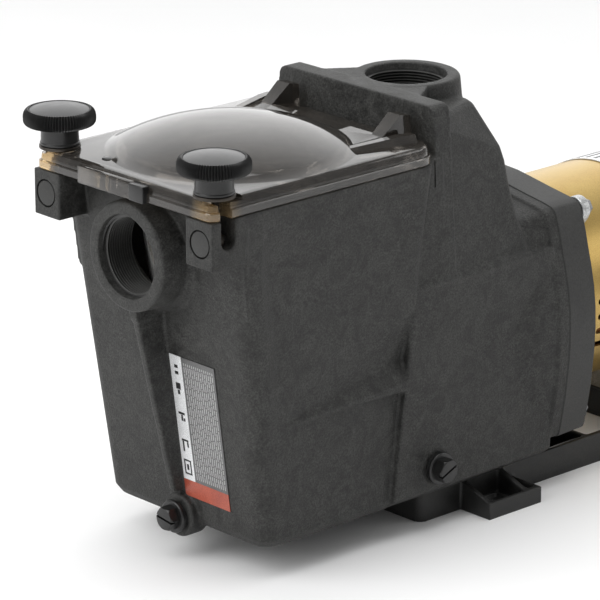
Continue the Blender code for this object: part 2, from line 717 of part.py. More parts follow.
def vane(name, inner_r, outer_r, start, sweep, thickness, low, high, mat):
    """A curved vane between two radii, swept back as it goes out."""
    steps = 3
    near, far = [], []
    for i in range(steps + 1):
        t = i / steps
        radius = inner_r + (outer_r - inner_r) * t
        a = start + sweep * t
        half = thickness / 2 / radius
        near.append((radius * math.cos(a - half), SHAFT_Z + radius * math.sin(a - half)))
        far.append((radius * math.cos(a + half), SHAFT_Z + radius * math.sin(a + half)))
    return prism(name, near + far[::-1], "X", low, high, mat)


def wet_end():
    """Diffuser, impeller, shaft seal, seal plate and their fasteners and rings."""
    axis_point = (0, SHAFT_Z)
    diffuser = turned("diffuser", [(26.9, 203), (31.9, 203), (31.9, 256), (76, 262), (76, 266), (34, 266),
                                   (26.9, 262)], "X", axis_point, LARGE, inner_plastic)
    for i in range(6):
        add(diffuser, vane("leg", 62, 74, 2 * math.pi * i / 6, 0.45, 3.0, 264, 343.4, inner_plastic))
    turned("diffuser_oring", ring_section(33.8, 222.5, 1.5), "X", axis_point, LARGE, rubber)
    tube("wear_ring", 24.6, 26.6, 252, 261, "X", axis_point, LARGE, steel)

    impeller = turned("impeller", [(24.0, 256), (24.0, 268.5), (56, 275), (56, 278), (24, 272), (21, 270),
                                   (21, 256)], "X", axis_point, LARGE, inner_plastic, rotor_origin(290))
    back = turned("back", [(0, 290), (12, 290), (56, 293), (56, 296), (13, 297), (13, 320), (0, 320)],
                  "X", axis_point, LARGE, inner_plastic)
    add(impeller, back)
    for i in range(5):
        add(impeller, vane("blade", 20, 55, 2 * math.pi * i / 5, 1.0, 2.6, 271.5, 292, inner_plastic))
    cut(impeller, rod("shaft_bore", SHAFT_R + GAP, 300, 330, "X", axis_point, MEDIUM, inner_plastic))
    cut(impeller, rod("screw_bore", 3.4, 280, 310, "X", axis_point, SMALL, inner_plastic))
    turned("impeller_screw", [(0, 286.2), (6, 286.2), (6, 289.7), (3, 289.7), (3, 314), (0, 314)],
           "X", axis_point, SMALL, steel, rotor_origin(290))
    tube("rotary_seal", SHAFT_R + GAP, 16, 320.3, 340.6, "X", axis_point, MEDIUM, graphite,
         rotor_origin(330))
    tube("seal_seat", SHAFT_R + 1.2, 16.5, 341.2, 349.2, "X", axis_point, MEDIUM, ceramic)

    plate = [(9.8, 360), (24, 360), (24, 350.7), (87.5, 350.7), (87.5, 344), (30, 344), (24, 336),
             (16.8, 336), (16.8, 349.5), (9.8, 349.5)]
    turned("seal_plate", plate, "X", axis_point, LARGE, inner_plastic)
    tube("housing_gasket", 84.6, 87.5, 342.3, 343.7, "X", axis_point, LARGE, rubber)


def ring_section(radius, place, section):
    """A six-sided O-ring section with flats above and below."""
    points = []
    for i in range(6):
        a = 2 * math.pi * i / 6
        points.append((radius + section * math.cos(a), place + section * math.sin(a)))
    return points


# ---------------------------------------------------------------- adapter and motor
def motor_adapter():
    """The block between the housing's flange and the motor."""
    axis_point = (0, SHAFT_Z)
    rings = [ring_at_x(flange_outline(-0.5), ADAPTER_FRONT_X),
             ring_at_x(flange_outline(0.5), ADAPTER_REAR_X)]
    adapter = loft("motor_adapter", rings, plastic)
    hollow = turned("hollow", [(0, 345), (26, 345), (26, 358), (70, 358), (70, 390), (0, 390)],
                    "X", axis_point, LARGE, plastic)
    cut(adapter, hollow)
    for place in corner_places():
        cut(adapter, rod("bolt_hole", CORNER_HOLE_R, 340, 390, "X", place, SMALL, plastic))
    return adapter


def front_end_bell():
    """The motor's front end with a lug for each corner bolt and a bearing bore."""
    axis_point = (0, SHAFT_Z)
    disc = [(20.3, ADAPTER_REAR_X + GAP), (69, ADAPTER_REAR_X + GAP), (MOTOR_R, ADAPTER_REAR_X + GAP),
            (MOTOR_R, BELL_LUG_X), (79.2, BELL_LUG_X), (79.2, 398), (74, 398), (74, 388), (26, 388),
            (26, 406), (20.3, 406)]
    bell = turned("front_end_bell", disc, "X", axis_point, LARGE, aluminium)
    for y, z in corner_places():
        toward = math.atan2(z - SHAFT_Z, y)
        base_y, base_z = 60 * math.cos(toward), SHAFT_Z + 60 * math.sin(toward)
        width = 13
        side_y, side_z = -math.sin(toward) * width, math.cos(toward) * width
        lug = [(base_y - side_y, base_z - side_z), (y - side_y * 0.8, z - side_z * 0.8)]
        lug += arc(y, z, width * 0.8, math.degrees(toward) - 60, math.degrees(toward) + 60, 4)
        lug += [(y + side_y * 0.8, z + side_z * 0.8), (base_y + side_y, base_z + side_z)]
        add(bell, prism("lug", lug, "X", ADAPTER_REAR_X + GAP + 0.05, BELL_LUG_X - 0.05, aluminium))
    for place in corner_places():
        cut(bell, rod("bolt_hole", CORNER_HOLE_R, 370, 400, "X", place, SMALL, aluminium))
    return bell


def corner_bolts():
    names = ("low_right", "high_right", "low_left", "high_left")
    head = BELL_LUG_X + GAP
    profile = [(0, 333), (3.7, 333), (3.7, head), (8, head), (8, head + 1), (6.5, head + 6),
               (0, head + 6.5)]
    for name, place in zip(names, corner_places()):
        turned("corner_bolt_" + name, profile, "X", place, SMALL, steel)


def motor():
    """Shell, stator, rotor, shaft, bearings, fan, rear end and nameplate."""
    axis_point = (0, SHAFT_Z)
    shell = tube("motor_shell", 79.5, MOTOR_R, BELL_LUG_X + GAP, SHELL_REAR_X, "X", axis_point, LARGE,
                 gold_paint)
    cut(shell, rod("lead_hole", 6, 60, 100, "Z", (560, 40), SMALL, gold_paint))
    tube("stator_core", 46, 79.2, 434, 514, "X", axis_point, LARGE, iron)
    for suffix, low, high in (("front", 419, 433.7), ("rear", 514.3, 531)):
        profile = [(52, low + 3), (55, low), (69, low), (73, low + 4), (73, high), (50, high)]
        turned("winding_" + suffix, profile, "X", axis_point, LARGE, copper)
    tube("rotor_core", 10.3, 45.3, 435, 513, "X", axis_point, LARGE, iron, rotor_origin(474))

    shaft = [(0, 300.3), (SHAFT_R, 300.3), (SHAFT_R, 407), (10, 407), (10, 540), (SHAFT_R, 540),
             (SHAFT_R, 586), (0, 586)]
    shaft = turned("motor_shaft", shaft, "X", axis_point, MEDIUM, steel, rotor_origin(440))
    cut(shaft, rod("screw_hole", 3.4, 290, 316, "X", axis_point, SMALL, steel))
    for suffix, low in (("front", 392), ("rear", 548)):
        tube("bearing_" + suffix, SHAFT_R + GAP, 20, low, low + 12, "X", axis_point, MEDIUM, steel)

    fan = tube("fan", SHAFT_R + 1.8, 17, 408, 416, "X", axis_point, MEDIUM, inner_plastic,
               rotor_origin(412))
    add(fan, turned("disc", [(16, 413.5), (58, 413.5), (58, 415.5), (16, 415.5)], "X", axis_point, 36,
                    inner_plastic))
    for i in range(6):
        add(fan, vane("blade", 24, 57, 2 * math.pi * i / 6, 0.25, 2.0, 408, 414.5, inner_plastic))
    turned("slinger", [(SHAFT_R + GAP, 362), (14, 362), (22, 368), (22, 369.5), (13, 369.5),
                       (SHAFT_R + GAP, 369.5)], "X", axis_point, MEDIUM, rubber, rotor_origin(366))

    lip_x = SHELL_REAR_X + GAP
    rear = [(20.3, 545), (26, 545), (26, 562), (74, 562), (74, 556), (79.2, 556), (79.2, lip_x),
            (MOTOR_R, lip_x), (MOTOR_R, 576), (9.5, 576), (9.5, 563), (20.3, 563)]
    bell = turned("rear_end_bell", rear, "X", axis_point, LARGE, aluminium)
    for side in (-1, 1):
        cut(bell, rod("screw_hole", 2.6, 555, 590, "X", (side * 66, SHAFT_Z), SMALL, aluminium))
    tube("switch_rotor", SHAFT_R + GAP, 24, 577, 584, "X", axis_point, MEDIUM, inner_plastic,
         rotor_origin(580))
    rod("run_capacitor", 16, -40, 40, "Y", (597, SHAFT_Z - 40), MEDIUM, inner_plastic)

    end = CANOPY_REAR_X
    canopy = [(0, end), (66, end), (74, end - 2.5), (79, end - 8), (81, end - 16), (MOTOR_R, 576.3),
              (79.5, 576.3), (78, end - 16), (74, end - 6), (66, end - 2.5), (0, end - 2.5)]
    canopy = turned("rear_canopy", canopy, "X", axis_point, LARGE, gold_paint)
    entry_x, entry_z = 594, SHAFT_Z - 6
    cut(canopy, rod("entry_hole", 13.4, -100, -60, "Y", (entry_x, entry_z), MEDIUM, gold_paint))
    turned("conduit_entry", [(10.5, -72), (13, -72), (13, -82.5), (17, -82.5), (17, -86.5),
                             (10.5, -86.5)], "Y", (entry_x, entry_z), MEDIUM, aluminium)
    for side, suffix in ((-1, "right"), (1, "left")):
        place = (side * 66, SHAFT_Z)
        cut(canopy, rod("screw_hole", 2.6, 600, 620, "X", place, SMALL, gold_paint))
        head = CANOPY_REAR_X + GAP
        profile = [(0, 566), (2.2, 566), (2.2, head), (4.6, head), (4.6, head + 1.4),
                   (3.2, OVERALL_LENGTH), (0, OVERALL_LENGTH)]
        turned("canopy_screw_" + suffix, profile, "X", place, SMALL, steel)

    plate = arc(0, SHAFT_Z, MOTOR_R + GAP, 50, 112, 14) + arc(0, SHAFT_Z, MOTOR_R + 0.9, 112, 50, 14)
    prism("nameplate", plate, "X", 484, 556, label_silver)


# ---------------------------------------------------------------- base and label
def foot(x0, side):
    """An outrigger foot with a pocket and two sloping ribs."""
    x1 = x0 + 56
    inner, outer = side * (BASE_HALF - 1), side * FOOT_HALF
    y0, y1 = sorted((inner, outer))
    pad = box("foot", (x0, x1), (y0, y1), (0, 13), base_plastic)
    y0, y1 = sorted((inner + side, outer - side * 4))
    cut(pad, box("pocket", (x0 + 5, x1 - 5), (y0, y1), (4, 20), base_plastic))
    for x in (x0 + 0.05, x1 - 4.05):
        rib = [(inner, 2), (outer - side * 2, 2), (outer - side * 2, 12.8), (inner, BASE_TOP_Z - 0.5)]
        add(pad, prism("rib", rib, "X", x, x + 4, base_plastic))
    cut(pad, rod("anchor_hole", 5.2, -2, 10, "Z", (x0 + 28, side * 90), SMALL, base_plastic))
    return pad


def mounting_base():
    """The tray with its four feet and two screws up into the housing."""
    base = box("mounting_base", (BASE_FRONT_X, BASE_REAR_X), (-BASE_HALF, BASE_HALF), (0, BASE_TOP_Z),
               base_plastic)
    walls = ((BASE_FRONT_X + 5, 286), (314, 400), (404.5, 488), (534, BASE_REAR_X - 5))
    for x0, x1 in walls:
        cut(base, box("pocket", (x0, x1), (-BASE_HALF + 5, BASE_HALF - 5), (4, 30), base_plastic))
    for x0 in (263, 506):
        for side in (-1, 1):
            add(base, foot(x0, side))
    for side in (-1, 1):
        place = (BASE_SCREW_X, side * BASE_SCREW_Y)
        cut(base, rod("screw_hole", BASE_SCREW_R, -2, 30, "Z", place, SMALL, base_plastic))
        cut(base, rod("screw_recess", 7, -2, 9, "Z", place, MEDIUM, base_plastic))
        suffix = "right" if side < 0 else "left"
        profile = [(0, 4.5), (6, 4.5), (6, 8.7), (2.7, 8.7), (2.7, 38), (0, 38)]
        turned("base_screw_" + suffix, profile, "Z", place, SMALL, steel)
    return base


def motor_cradle():
    """The rubber saddle between the base and the motor's shell."""
    top = arc(0, SHAFT_Z, MOTOR_R + GAP, -58, -122, 12)
    outline = top + [(-46, BASE_TOP_Z + GAP), (46, BASE_TOP_Z + GAP)]
    return prism("motor_cradle", outline, "X", 490, 532, rubber)


def rating_label():
    """A thin label on the leaning front wall, right of the fin."""
    low, high, left, right = 48, 160, -4.5, -52.5
    bm = bmesh.new()
    rings = []
    for z in (low, high):
        x = front_x(z)
        rings.append([bm.verts.new(point) for point in ((x - GAP, left, z), (x - GAP, right, z),
                                                        (x - 0.8, right, z), (x - 0.8, left, z))])
    for i in range(4):
        j = (i + 1) % 4
        bm.faces.new((rings[0][i], rings[0][j], rings[1][j], rings[1][i]))
    bm.faces.new(rings[0])
    bm.faces.new(rings[1])
    return make("rating_label", bm, label_grey)


def build():
    pump_housing()
    lid()
    lid_gasket()
    strainer_basket()
    clamp(-1, "right")
    clamp(1, "left")
    drain_plug("drain_plug_front", "X", (0, FRONT_PLUG_Z), FRONT_PLUG_FACE_X, -1)
    drain_plug("drain_plug_side", "Y", (SIDE_PLUG_X, SIDE_PLUG_Z), SIDE_PLUG_FACE_Y, -1)
    wet_end()
    motor_adapter()
    front_end_bell()
    corner_bolts()
    motor()
    mounting_base()
    motor_cradle()
    rating_label()


build()
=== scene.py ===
"""Looks for the self-priming pool pump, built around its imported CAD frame.

Lengths are in pump millimetres, X from the suction port's face to the motor's rear end, and are
turned into the frame's metres as each mesh is made.
"""

import math

import bmesh
import bpy
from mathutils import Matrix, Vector


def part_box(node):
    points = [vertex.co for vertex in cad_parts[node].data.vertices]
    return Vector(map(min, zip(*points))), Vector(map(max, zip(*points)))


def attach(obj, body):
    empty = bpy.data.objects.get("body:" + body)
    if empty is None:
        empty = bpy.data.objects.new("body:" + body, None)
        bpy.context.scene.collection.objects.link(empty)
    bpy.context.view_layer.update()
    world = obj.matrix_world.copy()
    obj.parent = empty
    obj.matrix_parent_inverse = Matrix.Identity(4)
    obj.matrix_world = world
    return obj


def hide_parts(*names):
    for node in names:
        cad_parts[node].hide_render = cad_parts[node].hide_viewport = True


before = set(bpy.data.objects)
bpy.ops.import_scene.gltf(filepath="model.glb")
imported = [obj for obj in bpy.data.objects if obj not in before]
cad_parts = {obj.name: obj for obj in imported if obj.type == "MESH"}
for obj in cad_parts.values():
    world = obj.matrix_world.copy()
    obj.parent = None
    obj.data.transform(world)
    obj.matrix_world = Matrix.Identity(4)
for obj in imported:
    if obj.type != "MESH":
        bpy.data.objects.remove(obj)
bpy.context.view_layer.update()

MM = 0.001
ADAPTER_X = 351.0
ORIGIN_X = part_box("motor_adapter")[0].x - ADAPTER_X * MM
LARGE, MEDIUM, SMALL = 96, 48, 24
# Grid size and the most triangles that a moulding keeps
HOUSING_GRID = ((1.15, 170000))
BASE_GRID = ((1.1, 70000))
MERGE_DISTANCE = 0.00002

SHAFT_Z = 130.0
PORT_TOP_Z = 322.5
SUCTION_Z = 238.5
SUCTION = (0, SUCTION_Z)
DISCHARGE_X = 274.2
DISCHARGE = (DISCHARGE_X, 0)
THREAD_R = 27.9
THREAD_ROOT_R = 30.0
PORT_PITCH = 2.21
MOUTH_R = 30.4
BORE_R = 25.0
BOSS_R = 40.2
POT_BOTTOM_Z = 24.0
POT_TOP_Z = 284.7
POT_AXIS_X = 104.0
VOLUTE_HALF = 91.0
VOLUTE_TOP_Z = 193.0
FLANGE_FRONT_X = 341.0
FLANGE_REAR_X = 350.7
FRONT_DRAIN = (0, 32.0)
FRONT_DRAIN_X = 46.0
SIDE_DRAIN = (220.0, 50.0)
SIDE_DRAIN_Y = -91.6
WALL_FRONT_X = 222.0
WALL_REAR_X = 238.5
LID_BOTTOM_Z = 285.0
LID_TOP_Z = 299.0
LID_REAR_X = 217.0
LID_HALF = 95.0
DOME_X = 100.0
DOME_SEGMENTS = 128
BOLT_X = 10.5
BOLT_Y = 83.0
BOLT_PITCH = 1.411
PIN_Z = 267.7
KNOB_R = 26.2
SHAFT = (0, SHAFT_Z)
MOTOR_R = 82.0
SHELL_FRONT_X = 389.6
SHELL_REAR_X = 572.0
CANOPY_END_X = 616.0
SHELL_SEGMENTS = 144
CANOPY_SCREW_Y = 66
CONDUIT = (594.0, SHAFT_Z - 6)
CORNER_BOLT_Y = 72.0
CORNER_BOLT_DZ = 80.0
BASE_TOP_Z = 23.7
BASE_SCREW_X = 300
BASE_SCREW_Y = 55
ROOM_LIGHT = 0.36
BACK_LIGHT = 1.75
BACKDROP = 1.05


# ---------------------------------------------------------------- materials
def new_material(name):
    mat = bpy.data.materials.new(name)
    mat.use_nodes = True
    return mat, mat.node_tree, mat.node_tree.nodes["Principled BSDF"]


def rgb(tone):
    """A colour from red, green and blue, or from one grey."""
    return tone if isinstance(tone, tuple) else (tone, tone, tone)


def feed(tree, value, socket):
    """Link another node's output, or set a plain value."""
    if isinstance(value, bpy.types.NodeSocket):
        tree.links.new(value, socket)
    else:
        socket.default_value = value


def object_place(tree):
    return tree.nodes.new("ShaderNodeTexCoord").outputs["Object"]


def noise(tree, vector, scale, detail=3.0, distortion=0.0, roughness=0.55):
    node = tree.nodes.new("ShaderNodeTexNoise")
    node.inputs["Scale"].default_value = scale
    node.inputs["Detail"].default_value = detail
    node.inputs["Roughness"].default_value = roughness
    node.inputs["Distortion"].default_value = distortion
    tree.links.new(vector, node.inputs["Vector"])
    return node.outputs["Fac"]


def ramp(tree, value, *stops):
    node = tree.nodes.new("ShaderNodeValToRGB")
    elements = node.color_ramp.elements
    while len(elements) < len(stops):
        elements.new(0.5)
    for element, (place, colour) in zip(elements, stops):
        element.position = place
        element.color = (*rgb(colour), 1.0)
    tree.links.new(value, node.inputs["Fac"])
    return node.outputs["Color"]


def remap(tree, value, low, high, to_low, to_high):
    node = tree.nodes.new("ShaderNodeMapRange")
    for socket, number in zip(node.inputs[1:5], (low, high, to_low, to_high)):
        socket.default_value = number
    tree.links.new(value, node.inputs["Value"])
    return node.outputs["Result"]


def blend_colour(tree, kind, factor, one, two):
    node = tree.nodes.new("ShaderNodeMix")
    node.data_type = "RGBA"
    node.blend_type = kind
    for name, value in (("Factor", factor), ("A", one), ("B", two)):
        feed(tree, value, node.inputs[name])
    return node.outputs["Result"]


def compute(tree, kind, operation, one, two=None):
    """The value from a Math or a VectorMath node."""
    node = tree.nodes.new("ShaderNode" + kind)
    node.operation = operation
    feed(tree, one, node.inputs[0])
    if two is not None:
        feed(tree, two, node.inputs[1])
    return node.outputs["Vector" if kind == "VectorMath" and operation == "MULTIPLY" else "Value"]


def relief(tree, height, distance, strength, normal=None):
    node = tree.nodes.new("ShaderNodeBump")
    node.inputs["Distance"].default_value = distance
    node.inputs["Strength"].default_value = strength
    tree.links.new(height, node.inputs["Height"])
    if normal is not None:
        tree.links.new(normal, node.inputs["Normal"])
    return node.outputs["Normal"]


def surface(name, dark, light, gloss, patch, grain, bump, metallic=0.0, distortion=1.0,
            stretch=(1, 1, 1), specular=0.5, flow=0.0, speck=0.62):
    """Layered noise sets the colour, the gloss and a fine relief.

    dark and light are the two ends of the colour, and gloss is the range of roughness. patch and
    grain are the scales of the coarse and the fine noise, and speck is how dark the grain goes.
    flow adds the thin dark lines that plastic leaves where it folds in the mould.
    """
    mat, tree, shader = new_material(name)
    coord = object_place(tree)
    mapping = tree.nodes.new("ShaderNodeMapping")
    mapping.inputs["Scale"].default_value = stretch
    tree.links.new(coord, mapping.inputs["Vector"])
    place = mapping.outputs["Vector"]
    patches = noise(tree, place, patch, 8.0, distortion, 0.62)
    grains = noise(tree, coord, grain, 2.0)
    colour = ramp(tree, patches, (0.36, dark), (0.60, light))
    colour = blend_colour(tree, "MULTIPLY", 1.0, colour, ramp(tree, grains, (0.32, speck), (0.68, 1.0)))
    if flow:
        lines = noise(tree, place, patch * 1.7, 9.0, distortion * 1.6, 0.66)
        where = noise(tree, place, patch * 0.4, 2.0)
        folds = ramp(tree, lines, (0.47, 1.0), (0.495, 0.35), (0.505, 0.35), (0.53, 1.0))
        colour = blend_colour(tree, "MULTIPLY", remap(tree, where, 0.46, 0.62, 0.0, flow), colour, folds)
    tree.links.new(colour, shader.inputs["Base Color"])
    tree.links.new(remap(tree, patches, 0.3, 0.7, *gloss), shader.inputs["Roughness"])
    fine = relief(tree, grains, 0.0003, bump)
    tree.links.new(relief(tree, patches, 0.0008, bump * 0.5, fine), shader.inputs["Normal"])
    shader.inputs["Metallic"].default_value = metallic
    shader.inputs["Specular IOR Level"].default_value = specular
    return mat


def glass(name, tint_low, tint_high, amber):
    """Smoke-tinted clear plastic with faint streaks; amber shows in the thin forked ears.

    Lamps shine through it, so that what it covers is lit.
    """
    mat, tree, shader = new_material(name)
    coord = object_place(tree)
    streaks = noise(tree, coord, 28.0, 4.0, 1.5)
    smoke = ramp(tree, streaks, (0.35, tint_low), (0.65, tint_high))
    split = tree.nodes.new("ShaderNodeSeparateXYZ")
    tree.links.new(coord, split.inputs["Vector"])
    ear_x = ORIGIN_X + (BOLT_X + 9) * MM
    front = remap(tree, split.outputs["X"], ear_x - 0.004, ear_x + 0.006, 1.0, 0.0)
    width = compute(tree, "Math", "ABSOLUTE", split.outputs["Y"])
    outer = remap(tree, width, 0.072, 0.080, 0.0, 1.0)
    both = compute(tree, "Math", "MULTIPLY", front, outer)
    tree.links.new(blend_colour(tree, "MIX", both, smoke, (*amber, 1.0)), shader.inputs["Base Color"])
    tree.links.new(remap(tree, streaks, 0.3, 0.7, 0.05, 0.08), shader.inputs["Roughness"])
    tree.links.new(relief(tree, noise(tree, coord, 60.0, 2.0), 0.0002, 0.10), shader.inputs["Normal"])
    shader.inputs["Transmission Weight"].default_value = 0.82
    shader.inputs["IOR"].default_value = 1.62
    through = tree.nodes.new("ShaderNodeBsdfTransparent")
    through.inputs["Color"].default_value = (0.42, 0.40, 0.37, 1.0)
    path = tree.nodes.new("ShaderNodeLightPath")
    mix = tree.nodes.new("ShaderNodeMixShader")
    output = tree.nodes["Material Output"]
    tree.links.new(path.outputs["Is Shadow Ray"], mix.inputs["Fac"])
    tree.links.new(shader.outputs["BSDF"], mix.inputs[1])
    tree.links.new(through.outputs["BSDF"], mix.inputs[2])
    tree.links.new(mix.outputs["Shader"], output.inputs["Surface"])
    return mat


def thread_moulding_with_painted_shade(name, across, centre):
    """The moulding's finish with painted shade in the thread's roots, darker by the distance from the port's
    axis.
    """
    mat = surface(name, (0.042, 0.042, 0.040), (0.060, 0.060, 0.057), (0.34, 0.46), 60, 1400, 0.08)
    tree = mat.node_tree
    base_colour = tree.nodes["Principled BSDF"].inputs["Base Color"]
    plain = base_colour.links[0].from_socket
    flat = compute(tree, "VectorMath", "MULTIPLY", object_place(tree), across)
    reach = compute(tree, "VectorMath", "DISTANCE", flat, centre)
    depth = remap(tree, reach, (THREAD_R + 0.1) * MM, (THREAD_ROOT_R - 0.3) * MM, 0.0, 1.0)
    # Painted shade: the colour darkens towards the roots, where shade falls between the ridges.
    shadow = ramp(tree, depth, (0.15, 1.0), (0.85, 0.12))
    tree.links.new(blend_colour(tree, "MULTIPLY", 1.0, plain, shadow), base_colour)
    return mat


# Name, dark and light, range of roughness, scales of the patches and the grain, relief
housing_mat = surface("housing_moulding", (0.026, 0.026, 0.0245), (0.060, 0.060, 0.057), (0.48, 0.72),
                      38, 760, 1.0, distortion=2.2, specular=0.35, flow=0.85, speck=0.40)
adapter_mat = surface("adapter_moulding", (0.031, 0.031, 0.030), (0.041, 0.041, 0.039), (0.50, 0.58),
                      30, 800, 0.25, specular=0.4)
base_mat = surface("base_moulding", (0.015, 0.015, 0.0145), (0.024, 0.024, 0.023), (0.38, 0.48),
                   40, 900, 0.2, specular=0.4)
knob_mat = surface("knob_moulding", 0.019, 0.026, (0.28, 0.36), 90, 1400, 0.10, specular=0.40)
plug_mat = surface("plug_moulding", 0.009, 0.014, (0.28, 0.38), 90, 1400, 0.10)
pin_mat = surface("pin_moulding", (0.018, 0.018, 0.017), (0.030, 0.030, 0.028), (0.46, 0.58),
                  110, 1100, 0.3)
wet_mat = surface("wet_end_moulding", (0.030, 0.030, 0.032), (0.060, 0.060, 0.064), (0.40, 0.5),
                  60, 900, 0.2)
basket_mat = surface("basket_moulding", (0.70, 0.70, 0.67), (0.80, 0.80, 0.78), (0.35, 0.5), 60, 900, 0.15)
suction_thread_mat = thread_moulding_with_painted_shade("suction_thread_moulding_with_painted_shade", (0, 1, 1), (0, 0, SUCTION_Z * MM))
discharge_thread_mat = thread_moulding_with_painted_shade("discharge_thread_moulding_with_painted_shade", (1, 1, 0),
                                     (ORIGIN_X + DISCHARGE_X * MM, 0, 0))
rubber_mat = surface("seal_rubber_black", 0.008, 0.016, (0.6, 0.75), 120, 1500, 0.25)
carbon_mat = surface("carbon_face", 0.02, 0.05, (0.3, 0.45), 90, 1200, 0.15)
ceramic_mat = surface("white_ceramic", (0.74, 0.72, 0.67), (0.86, 0.84, 0.80), (0.15, 0.25), 90, 1200, 0.05)
# Painted shade: the eye bolts and knob washers get dark oxide steel, darkened for the shadow under the knobs.
oxide_and_painted_shade_mat = surface("black_oxide_steel_and_painted_shade", (0.05, 0.045, 0.04), (0.09, 0.08, 0.07), (0.35, 0.5),
                    120, 1400, 0.15, metallic=0.9)
steel_mat = surface("bright_steel", 0.46, 0.60, (0.22, 0.36), 140, 1600, 0.1, metallic=1.0,
                    stretch=(1, 1, 0.2))
zinc_mat = surface("zinc_plate", 0.26, (0.36, 0.36, 0.37), (0.34, 0.46), 140, 1600, 0.1, metallic=0.9)
brass_mat = surface("turned_brass", (0.52, 0.36, 0.14), (0.70, 0.50, 0.22), (0.22, 0.36),
                    160, 1500, 0.1, metallic=1.0)
alloy_mat = surface("cast_alloy", (0.52, 0.53, 0.53), (0.70, 0.71, 0.71), (0.34, 0.50),
                    70, 700, 0.5, metallic=0.9)
copper_mat = surface("wound_copper", (0.40, 0.15, 0.05), (0.62, 0.27, 0.10), (0.3, 0.5),
                     300, 1800, 0.6, metallic=1.0)
iron_mat = surface("stacked_iron", (0.12, 0.12, 0.13), (0.24, 0.24, 0.25), (0.4, 0.6),
                   200, 1800, 0.5, metallic=1.0, stretch=(6, 1, 1))
gold_mat = surface("gold_motor_paint", (0.56, 0.37, 0.11), (0.62, 0.43, 0.14), (0.30, 0.36),
                   26, 2600, 0.06, metallic=0.75)
cradle_mat = surface("cradle_enamel", (0.30, 0.275, 0.225), (0.38, 0.35, 0.29), (0.45, 0.55), 60, 900, 0.2)
label_white_mat = surface("label_film_white", (0.88, 0.89, 0.90), (0.95, 0.96, 0.97), (0.28, 0.36),
                          50, 1500, 0.05)
label_red_mat = surface("label_film_red", (0.42, 0.086, 0.052), (0.50, 0.11, 0.065), (0.3, 0.4),
                        60, 1500, 0.05)
label_grey_mat = surface("label_film_grey", 0.125, 0.150, (0.3, 0.4), 50, 1500, 0.05)
label_black_mat = surface("label_ink_black", 0.015, 0.03, (0.35, 0.45), 90, 1500, 0.05)
label_line_mat = surface("label_ink_light", 0.38, 0.54, (0.3, 0.4), 900, 2500, 0.05)
lid_mat = glass("smoke_clear_lid", (0.085, 0.077, 0.068), (0.14, 0.126, 0.112), (0.55, 0.39, 0.20))


# ---------------------------------------------------------------- mesh helpers
def on_axis(axis, u, v, w):
    if axis == "X":
        return (w, u, v)
    if axis == "Y":
        return (u, w, v)
    return (u, v, w)


def polar(axis, centre, radius, angle, w):
    """The point at an angle and a distance from an axis, w along it."""
    return on_axis(axis, centre[0] + radius * math.cos(angle), centre[1] + radius * math.sin(angle), w)


def span(side, one, two):
    """The range of Y between two distances from the middle, on one side."""
    return tuple(sorted((side * one, side * two)))


def new_object(name, bm, mat=None):
    mesh = bpy.data.meshes.new(name)
    bm.to_mesh(mesh)
    bm.free()
    if mat is not None:
        mesh.materials.append(mat)
    obj = bpy.data.objects.new(name, mesh)
    bpy.context.collection.objects.link(obj)
    return obj


def make(name, bm, mat=None):
    """An object from a bmesh in pump millimetres, placed in the frame."""
    bmesh.ops.recalc_face_normals(bm, faces=bm.faces)
    for vert in bm.verts:
        vert.co = Vector((vert.co.x * MM + ORIGIN_X, vert.co.y * MM, vert.co.z * MM))
    return new_object(name, bm, mat)


def skin(bm, rings):
    """Faces between neighbouring rings of vertices; a ring of one vertex is a tip."""
    for one, two in zip(rings, rings[1:]):
        count = max(len(one), len(two))
        for i in range(count):
            j = (i + 1) % count
            if len(one) == 1:
                bm.faces.new((one[0], two[i], two[j]))
            elif len(two) == 1:
                bm.faces.new((one[i], one[j], two[0]))
            else:
                bm.faces.new((one[i], one[j], two[j], two[i]))


def loft(name, rings, mat=None):
    """A solid through rings of points, closed at both ends."""
    bm = bmesh.new()
    loops = [[bm.verts.new(point) for point in ring] for ring in rings]
    skin(bm, loops)
    bm.faces.new(loops[0])
    bm.faces.new(loops[-1])
    return make(name, bm, mat)


def prism(name, outline, axis, low, high, mat=None):
    return loft(name, [[on_axis(axis, u, v, w) for u, v in outline] for w in (low, high)], mat)


def box(name, x_range, y_range, z_range, mat=None):
    (x0, x1), (y0, y1), (z0, z1) = x_range, y_range, z_range
    return prism(name, [(x0, y0), (x1, y0), (x1, y1), (x0, y1)], "Z", z0, z1, mat)


def softened(profile, radius, steps, closed):
    """A profile with each corner turned into a small curve; the ends of an open one stay."""
    points = []
    count = len(profile)
    for i, here in enumerate(profile):
        if not closed and i in (0, count - 1):
            points.append(here)
            continue
        before, after = profile[i - 1], profile[(i + 1) % count]
        one = Vector((before[0] - here[0], before[1] - here[1]))
        two = Vector((after[0] - here[0], after[1] - here[1]))
        if min(one.length, two.length) < 0.05 or abs(one.normalized().cross(two.normalized())) < 0.05:
            points.append(here)
            continue
        reach = min(radius, one.length * 0.45, two.length * 0.45)
        start, end = one.normalized() * reach, two.normalized() * reach
        for k in range(steps + 1):
            t = k / steps
            offset = start * (1 - t) ** 2 + end * t**2
            points.append((here[0] + offset[0], here[1] + offset[1]))
    return points


def turned(name, profile, axis, centre, segments=LARGE, mat=None, soft=0.0):
    """A turned solid from (radius, place along the axis); soft rounds its corners."""
    closed = profile[0][0] != 0
    if soft:
        profile = softened(profile, soft, 3, closed)
    bm = bmesh.new()
    rings = [[bm.verts.new(polar(axis, centre, radius, 2 * math.pi * i / segments, w))
              for i in range(segments if radius else 1)] for radius, w in profile]
    skin(bm, rings + rings[:1] if closed else rings)
    return make(name, bm, mat)


def rod(name, radius, low, high, axis, centre, segments=MEDIUM):
    return turned(name, [(0, low), (radius, low), (radius, high), (0, high)], axis, centre, segments)


def tube(name, inner, outer, low, high, axis, centre, segments=LARGE, mat=None, soft=0.0):
    profile = [(inner, low), (outer, low), (outer, high), (inner, high)]
    return turned(name, profile, axis, centre, segments, mat, soft)


